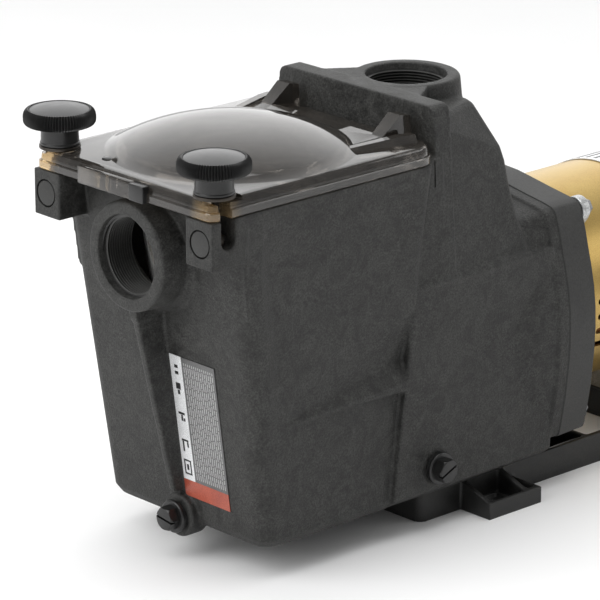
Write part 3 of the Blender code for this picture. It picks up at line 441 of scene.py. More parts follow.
def shade(obj, degrees=35):
    obj.data.shade_smooth()
    obj.data.set_sharp_from_angle(angle=math.radians(degrees))
    return obj


def bake_modifiers(obj):
    """Replace the mesh with its result, so that nothing is worked out again later."""
    bpy.context.view_layer.update()
    graph = bpy.context.evaluated_depsgraph_get()
    result = bpy.data.meshes.new_from_object(obj.evaluated_get(graph))
    old_mesh = obj.data
    obj.modifiers.clear()
    result.name = obj.name
    obj.data = result
    bpy.data.meshes.remove(old_mesh)


def apply_boolean(target, tool, operation):
    step = target.modifiers.new("step", "BOOLEAN")
    step.operation = operation
    step.solver = "EXACT"
    step.object = tool
    bake_modifiers(target)
    bpy.data.objects.remove(tool, do_unlink=True)
    bm = bmesh.new()
    bm.from_mesh(target.data)
    bmesh.ops.remove_doubles(bm, verts=bm.verts, dist=MERGE_DISTANCE)
    bmesh.ops.dissolve_degenerate(bm, dist=MERGE_DISTANCE, edges=bm.edges)
    bm.to_mesh(target.data)
    bm.free()


def add(target, *tools):
    for tool in tools:
        apply_boolean(target, tool, "UNION")


def cut(target, *tools):
    for tool in tools:
        apply_boolean(target, tool, "DIFFERENCE")


def bevel(obj, width, segments, degrees):
    """Round the edges that turn by more than some degrees."""
    step = obj.modifiers.new("bevel", "BEVEL")
    step.width = width * MM
    step.segments = segments
    step.limit_method = "ANGLE"
    step.angle_limit = math.radians(degrees)
    step.miter_outer = "MITER_ARC"
    bake_modifiers(obj)
    return shade(obj)


def moulded(obj, voxel, faces, smoothing):
    """Round every edge as a mould does: rebuild on a fine grid, relax it, then thin flat areas."""
    obj.data.shade_smooth()
    step = obj.modifiers.new("grid", "REMESH")
    step.mode = "VOXEL"
    step.voxel_size = voxel * MM
    step.use_smooth_shade = True
    step = obj.modifiers.new("relax", "SMOOTH")
    step.factor = 0.5
    step.iterations = smoothing
    bake_modifiers(obj)
    count = sum(len(face.vertices) - 2 for face in obj.data.polygons)
    if count > faces:
        step = obj.modifiers.new("thin", "DECIMATE")
        step.ratio = faces / count
    step = obj.modifiers.new("normals", "WEIGHTED_NORMAL")
    step.weight = 60
    bake_modifiers(obj)
    return obj


def joined(name, objects, mat=None):
    """One mesh from several solids that stand apart."""
    bm = bmesh.new()
    for obj in objects:
        bm.from_mesh(obj.data)
        bpy.data.objects.remove(obj, do_unlink=True)
    return new_object(name, bm, mat)


def piece(obj, body, slot, *nodes):
    """Put a finished piece on its body and hide the CAD nodes it stands for; slot is not used."""
    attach(obj, body)
    if nodes:
        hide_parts(*nodes)


def fixed(obj, slot, *nodes):
    piece(obj, "pump_body", slot, *nodes)


# ---------------------------------------------------------------- outlines
def arc(cu, cv, radius, start, end, steps):
    points = []
    for i in range(steps + 1):
        a = math.radians(start + (end - start) * i / steps)
        points.append((cu + radius * math.cos(a), cv + radius * math.sin(a)))
    return points


def rounded_rect(u0, u1, v0, v1, radius, steps=8):
    return (
        arc(u1 - radius, v0 + radius, radius, -90, 0, steps)
        + arc(u1 - radius, v1 - radius, radius, 0, 90, steps)
        + arc(u0 + radius, v1 - radius, radius, 90, 180, steps)
        + arc(u0 + radius, v0 + radius, radius, 180, 270, steps)
    )


def hexagon(centre, radius):
    return arc(*centre, radius, 0, 300, 5)


# One side of the flange from the top to the bottom, as distance from the middle and height
FLANGE_SIDE = ((15, 230.0), (30, 227.5), (50, 224.0), (68.4, 221.1), (76.6, 219.2), (79.4, 217.6),
               (81.6, 214.6), (83.6, 209.2), (86.8, 199.0), (90.0, 186.0), (93.5, 173.0), (97.0, 157.0),
               (99.0, 141.0), (99.6, 125.0), (98.8, 105.0), (95.8, 76.0), (92.6, 58.0), (90.3, 45.6),
               (89.0, 42.0), (86.4, 40.0), (70, 36.4), (45, 32.4), (20, 30.0))


def flange_outline(inset):
    whole = [(0, 231.0), *FLANGE_SIDE, (0, 29.5)] + [(-y, z) for y, z in reversed(FLANGE_SIDE)]
    scale = 1 - inset / 98
    return [(y * scale, SHAFT_Z + (z - SHAFT_Z) * scale) for y, z in whole]


def at_z(outline, z):
    return [(u, v, z) for u, v in outline]


def at_x(outline, x):
    return [(x, u, v) for u, v in outline]


# Height and half the width at the pot's rear, until the pot's own width takes over
WAIST = ((0, 85.0), (24, 86.0), (112, 84.8), (122, 81.8), (140, 82.4), (181, 91.8))


def front_x(z):
    return 54.5 - 0.135 * (z - POT_BOTTOM_Z)


def pot_rear_x(z):
    return 174.1 + 0.131 * z


def pot_half(z):
    return 86.0 + 9.6 * (z - POT_BOTTOM_Z) / (POT_TOP_Z - POT_BOTTOM_Z)


# ---------------------------------------------------------------- housing
def pillar_step(z):
    """How far the side wall lies behind the front corner's pillar."""
    return 2.8 * min(1.0, max(0.0, (z - 105) / 60)) * min(1.0, max(0.0, (278 - z) / 34))


def rear_half(z):
    """Half the width at the pot's rear, which is waisted beside the side rib."""
    for (low, at_low), (high, at_high) in zip(WAIST, WAIST[1:]):
        if z <= high:
            return at_low + (at_high - at_low) * (z - low) / (high - low)
    return pot_half(z)


def pot_body():
    """The pot, level by level: round front corners that stand out as pillars and a waisted rear."""
    rings = []
    levels = [(POT_BOTTOM_Z, 7), (POT_BOTTOM_Z + 2, 3), (POT_BOTTOM_Z + 8, 0)]
    levels += [(z, 0) for z in (80, 105, 112, 122, 140, 160, 178, 192, 215, 244, 262, POT_TOP_Z)]
    for z, inset in levels:
        half = pot_half(z) - inset
        wall, back = half - pillar_step(z), min(half, rear_half(z) - inset)
        rear = pot_rear_x(z)
        r = 2.0 + 4.5 * min(1.0, max(0.0, (z - 180) / 25))
        corner = front_x(z) + inset + 13
        outline = arc(rear - r, -back + r, r, -90, 0, 8) + arc(rear - r, back - r, r, 0, 90, 8)
        outline += [(corner + 60, (wall + min(wall, back)) / 2), (corner + 15, wall), (corner + 5, half)]
        outline += arc(corner, half - 13, 13, 90, 180, 8) + arc(corner, -half + 13, 13, 180, 270, 8)
        outline += [(corner + 5, -half), (corner + 15, -wall), (corner + 60, -(wall + min(wall, back)) / 2)]
        rings.append(at_z(outline, z))
    return loft("pump_housing_moulding", rings, housing_mat)


def volute():
    """The block behind the pot, its narrower shoulder, the neck and the flange."""
    under, side_low = VOLUTE_HALF - 13, POT_BOTTOM_Z + 8.5
    rings = [at_z(rounded_rect(pot_rear_x(z) - 1.3, 300, -half, half, 1.2, 4), z)
             for z, half in ((POT_BOTTOM_Z, under), (side_low, VOLUTE_HALF), (VOLUTE_TOP_Z, VOLUTE_HALF))]
    front = loft("volute_front", rings)
    half, block_top = VOLUTE_HALF - 0.2, VOLUTE_TOP_Z - 0.2
    middle, rear = [softened([(-under, low), (under, low), (half, low + 8.7), (half, block_top),
                              (-half, block_top), (-half, low + 8.7)], 4, 4, True)
                    for low in (POT_BOTTOM_Z + 0.2, POT_BOTTOM_Z + 1)]
    block = loft("block", [at_x(middle, 290), at_x(middle, 300), at_x(rear, FLANGE_FRONT_X + 1)])
    rings = [at_z([(192, -half), (228, -half), (228, half), (192, half)], z)
             for z, half in ((150, 90.2), (VOLUTE_TOP_Z, 89.8), (264, 87.4), (POT_TOP_Z - 0.2, 86.6))]
    shoulder = loft("shoulder", rings)
    neck = loft("neck", [at_x(flange_outline(8.5), 300), at_x(flange_outline(4), 322),
                         at_x(flange_outline(1.7), FLANGE_FRONT_X + 1)])
    flange = loft("flange", [at_x(flange_outline(0), x) for x in (FLANGE_FRONT_X, FLANGE_REAR_X + 1.6)])
    return front, block, shoulder, neck, flange


def tower():
    """The raised part: it narrows towards the motor and its top slopes."""
    x, r, rings = WALL_FRONT_X + 6, 8.0, []
    for z, rear, front, back in ((150, 328, 90.4, 88), (193, 324, 90.4, 87.4), (222, 315, 88, 80.5),
                                 (247, 310.5, 85.5, 76.5), (264, 308.5, 84, 74.0), (275, 305.5, 82.5, 72),
                                 (306.5, 293, 77.5, 56), (309.5, 290, 74, 53)):
        outline = arc(rear - r, -back + r, r, -84, 0, 8) + arc(rear - r, back - r, r, 0, 84, 8)
        rings.append(at_z([(x, -front), *outline, (x, front)], z))
    return loft("tower", rings)


def back_wall():
    half = [(91, 180), (88.4, 240), (86.2, 268), (84.4, 292), (82.6, 314.5)] + arc(74.6, 314.5, 8, 12, 90, 7)
    outline = half + [(-y, z) for y, z in reversed(half)]
    return prism("back_wall", outline, "X", WALL_FRONT_X, WALL_REAR_X)


def bosses():
    """The two ports' bosses, and the web from the back wall to the discharge port."""
    top = PORT_TOP_Z
    profile = [(0, 240), (BOSS_R + 8, 240), (BOSS_R + 6, 290), (BOSS_R + 1.5, 305), (BOSS_R, top - 2),
               (BOSS_R - 1.5, top), (0, top)]
    discharge = turned("discharge_boss", profile, "Z", DISCHARGE)
    outline = [(WALL_REAR_X - 6, -56), (DISCHARGE_X - 14, -37), (DISCHARGE_X, -30),
               (DISCHARGE_X, 30), (DISCHARGE_X - 14, 37), (WALL_REAR_X - 6, 56)]
    web = prism("web", outline, "Z", 296, top - 0.4)
    profile = [(0, 0), (BOSS_R - 1.5, 0), (BOSS_R, 1.5), (BOSS_R + 0.8, 22), (BOSS_R + 7, 34),
               (BOSS_R + 7, 44), (0, 44)]
    return discharge, web, turned("suction_boss", profile, "X", SUCTION)


def front_fin():
    upper = prism("upper_fin", [(5.6, 200), (6, 192), (7.6, 188.6), (45, 188.6), (45, 200)], "Y", -3.8, 3.8)
    lower = prism("lower_fin", [(8.0, 189.0), (41, 52), (60, 50), (45, 189.0)], "Y", -3, 3)
    return upper, lower


def side_rib(side):
    """A rib that deepens towards the volute and slopes on top, and the ridge on the volute's side."""
    low, edge_z, high = 117, 124, 141
    inner = side * 77
    shallow, deep = side * (pot_half(low) - 0.6), side * (VOLUTE_HALF + 0.2)
    front = at_x([(inner, low - 2), (shallow, low), (shallow, low + 1), (inner, low + 3)], 66)
    rear = at_x([(inner, low - 5), (deep, low), (deep, edge_z), (inner, high + 8)], pot_rear_x(low) + 3)
    skin_y = side * (VOLUTE_HALF - 1.5)
    ridge = []
    for x, out in ((197, 0.4), (206, 1.6), (300, 1.4), (318, 0.3)):
        edge = side * (VOLUTE_HALF + out)
        ridge.append(at_x([(skin_y, 187.0), (edge, 190.8), (edge, 193.4), (skin_y, 196.4)], x))
    return loft("side_rib", [front, rear]), loft("ridge", ridge)


def clamp_block(side):
    """The block that an eye bolt's pin crosses, on a column down the pot's front corner."""
    top = POT_TOP_Z - 0.4
    block = box("clamp_block", (-3.4, 30), span(side, 68, 96), (250, top))
    column = []
    for z, x, outer in ((205, 33, pot_half(205) - 0.8), (top, 24, 95.8)):
        y0, y1 = span(side, 72, outer)
        column.append(at_z([(x, y0), (45, y0), (45, y1), (x, y1)], z))
    return block, loft("column", column)


def plug_boss(axis, centre, low, high):
    step = math.copysign(1.5, high - low)
    profile = [(0, low), (15.0, low), (16.5, low + step), (16.5, high), (0, high)]
    return turned("plug_boss", profile, axis, centre)


def housing_hollows():
    """The pot, ports, volute and discharge chamber."""
    wall, top = 6.5, PORT_TOP_Z
    seat_z = 269.5
    rings = []
    for z in (POT_BOTTOM_Z + wall, seat_z - 7):
        half = min(pot_half(z) - wall, 76.5)
        rings.append(at_z(rounded_rect(front_x(z) + wall, pot_rear_x(z) - 4, -half, half, 9), z))
    pot = loft("pot_inside", rings)
    profile = [(0, seat_z - 9), (72, seat_z - 9), (72, seat_z), (76, seat_z), (76, 290), (0, 290)]
    mouth = turned("mouth", profile, "Z", (POT_AXIS_X, 0))
    profile = [(0, -1), (MOUTH_R, -1), (MOUTH_R, 3.4), (THREAD_ROOT_R, 4.4), (THREAD_ROOT_R, 31),
               (THREAD_ROOT_R + 1, 32), (THREAD_ROOT_R + 1, 52), (0, 52)]
    suction = turned("suction", profile, "X", SUCTION)
    profile = [(0, 262), (BORE_R, 262), (BORE_R, top - 34), (THREAD_ROOT_R, top - 33),
               (THREAD_ROOT_R, top - 4.4), (MOUTH_R, top - 3.4), (MOUTH_R, top + 1), (0, top + 1)]
    discharge = turned("discharge", profile, "Z", DISCHARGE)
    profile = [(0, 212), (84, 212), (84, 342), (87.9, 342), (87.9, 360), (0, 360)]
    cavity = turned("cavity", profile, "X", SHAFT)
    chamber = loft("chamber", [at_z(rounded_rect(x0, x1, -half, half, 16), z)
                               for z, x0, x1, half in ((150, 243, 314, 70), (215, 243, 306, 68),
                                                       (262, 243, 299, 60), (280, 244, 297, 36))])
    eye = rod("eye", 32.4, 180, 220, "X", SHAFT)
    return pot, mouth, suction, chamber, discharge, cavity, eye


def corner_places():
    return [(y, z) for y in (-CORNER_BOLT_Y, CORNER_BOLT_Y)
            for z in (SHAFT_Z - CORNER_BOLT_DZ, SHAFT_Z + CORNER_BOLT_DZ)]


def housing():
    body = pot_body()
    add(body, *volute(), tower(), back_wall(), *bosses(), *front_fin())
    for side in (-1, 1):
        add(body, *side_rib(side), *clamp_block(side))
    add(body, plug_boss("X", FRONT_DRAIN, FRONT_DRAIN_X, 62), plug_boss("Y", SIDE_DRAIN, SIDE_DRAIN_Y, -80))
    cut(body, *housing_hollows())
    for side in (-1, 1):
        y_range = span(side, 73, 110)
        cut(body, box("slot", (5.8, 18.8), y_range, (269.5, 300)),
            rod("slot_end", 6.5, *y_range, "Y", (12.3, 269.5)))
    cut(body, rod("front_drain", 7.5, 40, 70, "X", FRONT_DRAIN),
        rod("side_drain", 7.5, -100, -60, "Y", SIDE_DRAIN))
    for place in corner_places():
        cut(body, rod("bolt_hole", 4.6, 331, 360, "X", place))
    moulded(body, *HOUSING_GRID, 3)
    details = [box("flange_face", (FLANGE_REAR_X, FLANGE_REAR_X + 5), (-110, 110), (15, 245))]
    for side in (-1, 1):
        details.append(rod("head_recess", 10.4, -10, -0.3, "X", (side * BOLT_Y, PIN_Z)))
        details.append(box("corner_slit", (218.6, 219.9), span(side, 86, 100), (264, 290)))
    cut(body, joined("details", details))
    fixed(body, "housing_plastic", "pot_front", "strainer_pot", "pot_rim", "volute_housing",
          "discharge_tower")


def thread(name, axis, centre, start, length, mat):
    """An internal screw ridge that winds down a port and fades at both ends."""
    steps, root = 72, THREAD_ROOT_R + 0.3
    total = int(length / PORT_PITCH * steps)
    section = ((THREAD_ROOT_R + 0.5, -1.0), (THREAD_ROOT_R - 0.2, -0.95), (THREAD_R - 0.1, -0.18),
               (THREAD_R - 0.1, 0.18), (THREAD_ROOT_R - 0.2, 0.95), (THREAD_ROOT_R + 0.5, 1.0))
    rings = []
    for i in range(total + 1):
        height = 0.15 + 0.85 * min(1.0, i / 18, (total - i) / 18)
        rings.append([polar(axis, centre, root + (radius - root) * height, 2 * math.pi * i / steps,
                            start + PORT_PITCH * i / steps + across) for radius, across in section])
    ridge = shade(loft(name, rings, mat), 50)
    fixed(ridge, "housing_plastic")


housing()
thread("suction_port_thread", "X", SUCTION, 5.2, 25.0, suction_thread_mat)
thread("discharge_port_thread", "Z", DISCHARGE, PORT_TOP_Z - 31.0, 26.0, discharge_thread_mat)


# ---------------------------------------------------------------- lid
def lid_section(x, y, half_foot, half_top, z):
    """The section at x of a rib or wedge, from inside the lid up to z."""
    return [(x, y - half_foot, 296), (x, y + half_foot, 296), (x, y + half_top, z), (x, y - half_top, z)]


def lid_plate():
    rings = []
    for z, inset in ((LID_BOTTOM_Z, 0.7), (LID_BOTTOM_Z + 0.7, 0.0), (LID_BOTTOM_Z + 5.4, 0.0),
                     (LID_BOTTOM_Z + 6.2, 0.5), (LID_BOTTOM_Z + 6.6, 1.6), (LID_TOP_Z - 3.4, 2.1),
                     (LID_TOP_Z - 1.4, 2.9), (LID_TOP_Z - 0.4, 4.0), (LID_TOP_Z, 5.4)):
        rear, half, corner = LID_REAR_X - inset, LID_HALF - inset, 18.0 - inset
        outline = arc(rear - corner, -half + corner, corner, -90, 0, 10)
        outline += arc(rear - corner, half - corner, corner, 0, 90, 10)
        outline += arc(4.0, half - 7 + inset, 7 - inset, 90, 180, 6)
        outline += arc(4.0, -half + 7 - inset, 7 - inset, 180, 270, 6)
        rings.append(at_z(outline, z))
    return loft("lid_moulding", rings, lid_mat)


def dome_profiles():
    """The profiles of the dome and of the hollow under it, which follow one curve."""
    outer = [(0, LID_TOP_Z - 4), (91.4, LID_TOP_Z - 4), (91.4, LID_TOP_Z + 0.02), (90, LID_TOP_Z + 0.35)]
    inner = [(0, LID_BOTTOM_Z - 1), (76, LID_BOTTOM_Z - 1), (76, LID_TOP_Z - 2)]
    steps, rise = 14, 21
    for i in range(1, steps + 1):
        t = 1 - i / steps
        height = 1 - t**2.4
        outer.append((90 * t, LID_TOP_Z + 0.5 + rise * height))
        inner.append((min(84 * t, 76), LID_TOP_Z - 3 + rise * height))
    return outer, inner


def lid_side(body, side):
    """One side's fork for the eye bolt, and the rib, pad and wedge behind the dome."""
    cut(body, box("fork", (BOLT_X - 5.5, BOLT_X + 5.5), span(side, 73, 110), (280, 305)),
        rod("fork_end", 5.5, 280, 305, "Z", (BOLT_X, side * 73.5)))
    cut(body, box("tine_step", (-10, 28), span(side, 86, 110), (LID_TOP_Z - 3.2, 305)))
    add(body, loft("rib", [lid_section(x, side * y, side * half_foot, side * half_top, z)
                           for x, y, half_top, half_foot, z in (
                               (139, 60, 0.6, 1.6, 298.8), (150, 63, 2.6, 5.0, 301.6),
                               (196, 73.5, 3.4, 7.0, 304.8), (207, 76.0, 3.0, 6.4, 304.6))]))
    low = [(146, 54, 298), (184, 64, 298), (192, 64, 298), (192, 27, 298), (180, 24, 298)]
    high = [(147, 54.4, 299.4), (184, 62, 302.6), (191, 62, 303.2), (191, 28, 303.2), (181, 26, 302.0)]
    add(body, loft("pad", [[(x, side * y, z) for x, y, z in ring] for ring in (low, high)]))
    add(body, loft("wedge", [lid_section(x, side * 59, half_foot, half_top, z)
                             for x, half_top, half_foot, z in (
                                 (180, 4.5, 6.0, 298.6), (188, 5.6, 7.0, 303.0),
                                 (205, 6.4, 7.6, 316.4), (214.6, 6.4, 7.6, 314.6))]))


def lid():
    body = lid_plate()
    outer, inner = dome_profiles()
    add(body, turned("dome", outer, "Z", (DOME_X, 0), DOME_SEGMENTS))
    cut(body, turned("dome_inside", inner, "Z", (DOME_X + 2, 0), DOME_SEGMENTS))
    cut(body, tube("groove", 81.4, 86.6, 283, LID_BOTTOM_Z + 4.3, "Z", (POT_AXIS_X, 0), DOME_SEGMENTS))
    for side in (-1, 1):
        lid_side(body, side)
    band = box("front_band", (-4.6, 0), (-12, 46), (284, 297.2))
    bevel(band, 0.7, 2, 40)
    add(body, band)
    shade(body, 24)
    fixed(body, "lid_clear", "lid")
    clip = box("lid_front_clip", (-6.6, 0.4), (-27, -11.5), (284.4, 296.8), plug_mat)
    fixed(bevel(clip, 0.9, 3, 40), "housing_plastic")
    # A small dark disc on the lid's flat front left.
    profile = [(0, 298.9), (4.2, 298.9), (4.2, 299.5), (3.2, 300.0), (0, 300.1)]
    mark = turned("lid_dark_spot", profile, "Z", (17, 38), MEDIUM, plug_mat)
    fixed(shade(mark), "lid_clear")


lid()


# ---------------------------------------------------------------- knobs, bolts and pins
def knob(side, suffix):
    """A knob with a toothed rim, a low crown and a plain neck, blind from below."""
    neck_z, teeth, per_tooth = 302.1, 76, 4
    segments = teeth * per_tooth
    rim = [(KNOB_R - 4.2, 316.4, 0.0), (KNOB_R - 2.6, 316.6, 0.9), (KNOB_R - 1.1, 317.4, 1.3),
           (KNOB_R - 0.2, 318.8, 1.2), (KNOB_R, 320.6, 1.0), (KNOB_R, 322.6, 1.0), (KNOB_R - 0.2, 324.4, 1.1),
           (KNOB_R - 0.8, 326.0, 1.3), (KNOB_R - 1.8, 327.3, 1.4), (KNOB_R - 3.0, 328.0, 1.0),
           (KNOB_R - 3.9, 328.0, 0.0)]
    profile = [(6.9, neck_z, 0), (13.2, neck_z, 0), (14.4, neck_z + 0.5, 0), (14.4, neck_z + 1.6, 0),
               (13.8, neck_z + 2.4, 0), (13.6, 312, 0), (13.9, 314.6, 0), (15.6, 316.2, 0)] + rim
    profile += [(KNOB_R - 4.2, 327.6, 0), (KNOB_R - 4.7, 327.6, 0)]
    for i in range(12):
        t = 1 - i / 12
        profile.append(((KNOB_R - 5.0) * t, 327.7 + 2.2 * (1 - t**2), 0))
    profile.append((0, 329.9, 0))
    bore = [(0, 325.5, 0), (4.1, 325.5, 0), (4.1, 317, 0), (6.9, 317, 0)]

    def radius_at(radius, depth, i):
        notch = abs((i % per_tooth) / per_tooth * 2 - 1)
        return radius - 1.9 * depth * notch

    bm = bmesh.new()
    centre = (BOLT_X, side * BOLT_Y)
    skin(bm, [[bm.verts.new(polar("Z", centre, radius_at(radius, depth, i), 2 * math.pi * i / segments, z))
               for i in range(segments if radius else 1)] for radius, z, depth in bore + profile])
    obj = shade(make("hand_knob_" + suffix, bm, knob_mat), 30)
    piece(obj, "knob_" + suffix, "knob_black", "knob_" + suffix)


def swing_bolt(side, suffix):
    """An eye bolt with a rolled thread."""
    # Painted shade: the eye bolt is made dark steel for the shadow it sits in under the knob.
    bolt = tube("eye_bolt_" + suffix, 2.8, 6.5, BOLT_X - 3.4, BOLT_X + 3.4, "X", (side * BOLT_Y, PIN_Z),
                MEDIUM, oxide_and_painted_shade_mat, 0.5)
    profile = [(0, PIN_Z + 4.2), (3.4, PIN_Z + 4.2), (3.4, 284.0)]
    z = 284.0
    while z < 320.5:
        profile += [(3.5, z + 0.35), (2.95, z + 1.05)]
        z += BOLT_PITCH
    profile += [(3.0, 321.4), (2.4, 322.0), (0, 322.0)]
    add(bolt, turned("shank", profile, "Z", (BOLT_X, side * BOLT_Y), MEDIUM))
    piece(shade(bolt), "swing_bolt_" + suffix, "steel", "swing_bolt_" + suffix)


def clamp(side, suffix):
    knob(side, suffix)
    swing_bolt(side, suffix)
    cross = (side * BOLT_Y, PIN_Z)
    profile = [(0, -3.2), (9.2, -3.2), (9.2, -1.2), (2.5, -1.2), (2.5, 20), (0, 20)]
    pin = turned("pin_head_" + suffix, profile, "X", cross, MEDIUM, pin_mat, 0.4)
    fixed(shade(pin), "housing_plastic", "bolt_pin_" + suffix)
    centre = (BOLT_X, side * BOLT_Y)
    # Painted shade: the washer is made dark steel for the shadow under the knob.
    washer = tube("seat_washer_" + suffix, 3.9, 15, 299.5, 302.0, "Z", centre, MEDIUM, oxide_and_painted_shade_mat, 0.6)
    piece(shade(washer), "knob_washer_" + suffix, "steel", "knob_washer_" + suffix)


clamp(-1, "right")
clamp(1, "left")


# ---------------------------------------------------------------- drain plugs
def drain_plug(name, axis, centre, face, slot_turn):
    """A slotted hexagonal plug with a round flange; it points outwards along minus the axis."""
    def at(distance):
        return face - distance

    profile = [(0, at(-12)), (5.5, at(-12)), (7, at(-10)), (7, at(2.6)), (12.4, at(2.6)), (12.4, at(4.8)),
               (11.6, at(5.6)), (0, at(5.6))]
    plug = turned(name + "_cap", profile, axis, centre, MEDIUM, plug_mat, 0.5)
    head = prism("head", hexagon(centre, 9.3), axis, at(4.6), at(13.4))
    profile = [(0, at(4)), (9.6, at(4)), (9.6, at(11.6)), (7.9, at(13.4)), (0, at(13.4))]
    apply_boolean(head, turned("chamfer", profile, axis, centre, MEDIUM), "INTERSECT")
    bevel(head, 0.45, 2, 30)
    add(plug, head)
    angle = math.radians(slot_turn)
    slot = [(centre[0] + u * math.cos(angle) - v * math.sin(angle),
             centre[1] + u * math.sin(angle) + v * math.cos(angle))
            for u, v in ((-12, -0.85), (12, -0.85), (12, 0.85), (-12, 0.85))]
    cut(plug, prism("slot", slot, axis, at(9.6), at(15)))
    piece(shade(plug, 28), name, "knob_black", name)


drain_plug("drain_plug_front", "X", FRONT_DRAIN, FRONT_DRAIN_X, 8)
drain_plug("drain_plug_side", "Y", SIDE_DRAIN, SIDE_DRAIN_Y, 24)


# ---------------------------------------------------------------- label
def label_patch(name, y_range, z_range, lift, mat):
    """A thin film on the leaning front wall."""
    (y0, y1), (z0, z1) = y_range, z_range
    rings = []
    for z in (z0, z1):
        x = front_x(z)
        rings.append([(x - 0.25, y0, z), (x - 0.25, y1, z), (x - lift, y1, z), (x - lift, y0, z)])
    return loft(name, rings, mat)


def label():
    """A grey panel, a white strip and a red foot, with plain ruling and generic marks."""
    for name, y_range, z_range, lift, mat, nodes in (
            ("label_panel", (-52.5, -17.0), (61.5, 160), 0.62, label_grey_mat, ["rating_label"]),
            ("label_strip", (-17.0, -4.5), (57.0, 160), 0.62, label_white_mat, []),
            ("label_foot", (-52.5, -4.5), (48, 61.4), 0.66, label_red_mat, [])):
        fixed(label_patch(name, y_range, z_range, lift, mat), "label_grey", *nodes)
    dashes = []
    rows, first_y, breadth, low, high = 15, -19.6, 30.4, 64.0, 155
    for i in range(rows):
        y = first_y - breadth * i / (rows - 1)
        z = low
        k = 0
        while z < high:
            run = 3.0 + 4.2 * (math.sin(12.9898 * (k + 7 * i)) * 0.5 + 0.5)
            dash = (z, min(z + run, high + 1))
            dashes.append(label_patch("line", (y - 0.42, y + 0.42), dash, 0.72, label_line_mat))
            z += run + 0.9
            k += 1
    fixed(joined("label_ruling", dashes, label_line_mat), "label_grey")
    marks = []
    for y0, y1, z0, z1 in ((-12.6, -8.9, 150.2, 152.6), (-12.6, -8.9, 145.2, 147.6),
                           (-13.2, -8.4, 133.5, 138.5), (-12.0, -9.6, 129.5, 133.0),
                           (-14.0, -7.4, 113.5, 115.3), (-11.8, -9.9, 108.5, 113.2),
                           (-14.0, -12.4, 108.5, 111.0), (-14.4, -7.4, 92.4, 93.8),
                           (-14.4, -12.9, 88.0, 92.2), (-9.6, -8.0, 84.0, 92.2),
                           (-14.6, -7.0, 76.4, 77.6), (-14.6, -7.0, 65.8, 67.0), (-14.6, -13.4, 67.0, 76.4),
                           (-8.2, -7.0, 67.0, 76.4), (-11.8, -9.8, 69.5, 74.0)):
        marks.append(label_patch("mark", (y0, y1), (z0, z1), 0.75, label_black_mat))
    fixed(joined("label_marks", marks, label_black_mat), "label_grey")


label()


# ---------------------------------------------------------------- adapter and motor
def adapter():
    body = loft("motor_adapter_moulding", [at_x(flange_outline(inset), x) for x, inset in (
        (ADAPTER_X, 0.4), (ADAPTER_X + 0.9, -0.5), (379.4, 0.3), (381.0, 1.8))], adapter_mat)
    profile = [(0, 345), (26, 345), (26, 358), (70, 358), (70, 390), (0, 390)]
    cut(body, turned("hollow", profile, "X", SHAFT))
    for place in corner_places():
        cut(body, rod("bolt_hole", 4.1, 340, 390, "X", place, SMALL))
    fixed(shade(body, 26), "housing_plastic", "motor_adapter")


def front_bell():
    """The motor's front casting, with an ear for each corner bolt."""
    profile = [(20.3, 381.3), (MOTOR_R, 381.3), (MOTOR_R, 389.3), (79.2, 389.3), (79.2, 398), (74, 398),
               (74, 388), (26, 388), (26, 406), (20.3, 406)]
    bell = turned("front_end_bell_casting", profile, "X", SHAFT, LARGE, alloy_mat, 0.4)
    for y, z in corner_places():
        toward = math.degrees(math.atan2(z - SHAFT_Z, y))
        across, along = math.cos(math.radians(toward)), math.sin(math.radians(toward))
        root_y, root_z = 60 * across, SHAFT_Z + 60 * along
        side_y, side_z = -along * 13, across * 13
        lug = [(root_y - side_y, root_z - side_z), (y - side_y * 0.8, z - side_z * 0.8)]
        lug += arc(y, z, 10.4, toward - 60, toward + 60, 10)
        lug += [(y + side_y * 0.8, z + side_z * 0.8), (root_y + side_y, root_z + side_z)]
        ear = prism("lug", lug, "X", 381.35, 389.25)
        bevel(ear, 0.9, 3, 50)
        add(bell, ear)
    for place in corner_places():
        cut(bell, rod("bolt_hole", 4.1, 370, 400, "X", place, SMALL))
    fixed(shade(bell, 30), "cast_aluminium", "front_end_bell")


def motor_shell():
    """The painted shell with rolled ends and cooling slots low on both sides."""
    half = [(79.5, 0), (81.4, 0), (MOTOR_R, 0.7), (MOTOR_R, 5), (81.5, 5.8), (81.5, 7.0), (MOTOR_R, 7.8)]
    profile = [(radius, SHELL_FRONT_X + x) for radius, x in half]
    profile += [(radius, SHELL_REAR_X - x) for radius, x in reversed(half)]
    shell = turned("motor_shell_rolled", profile, "X", SHAFT, SHELL_SEGMENTS, gold_mat)
    for side in (-1, 1):
        for z in (96, 108, 120, 132):
            cut(shell, prism("vent", rounded_rect(401, 423, z, z + 5, 2.4, 5), "Y", *span(side, 60, 90)))
    fixed(shade(shell, 30), "motor_gold", "motor_shell")


def rear_bell():
    profile = [(20.3, 545), (26, 545), (26, 562), (74, 562), (74, 556), (79.2, 556), (79.2, 572.3),
               (MOTOR_R, 572.3), (MOTOR_R, 576), (9.5, 576), (9.5, 563), (20.3, 563)]
    bell = turned("rear_end_bell_casting", profile, "X", SHAFT, LARGE, alloy_mat, 0.35)
    fixed(shade(bell, 30), "cast_aluminium", "rear_end_bell")


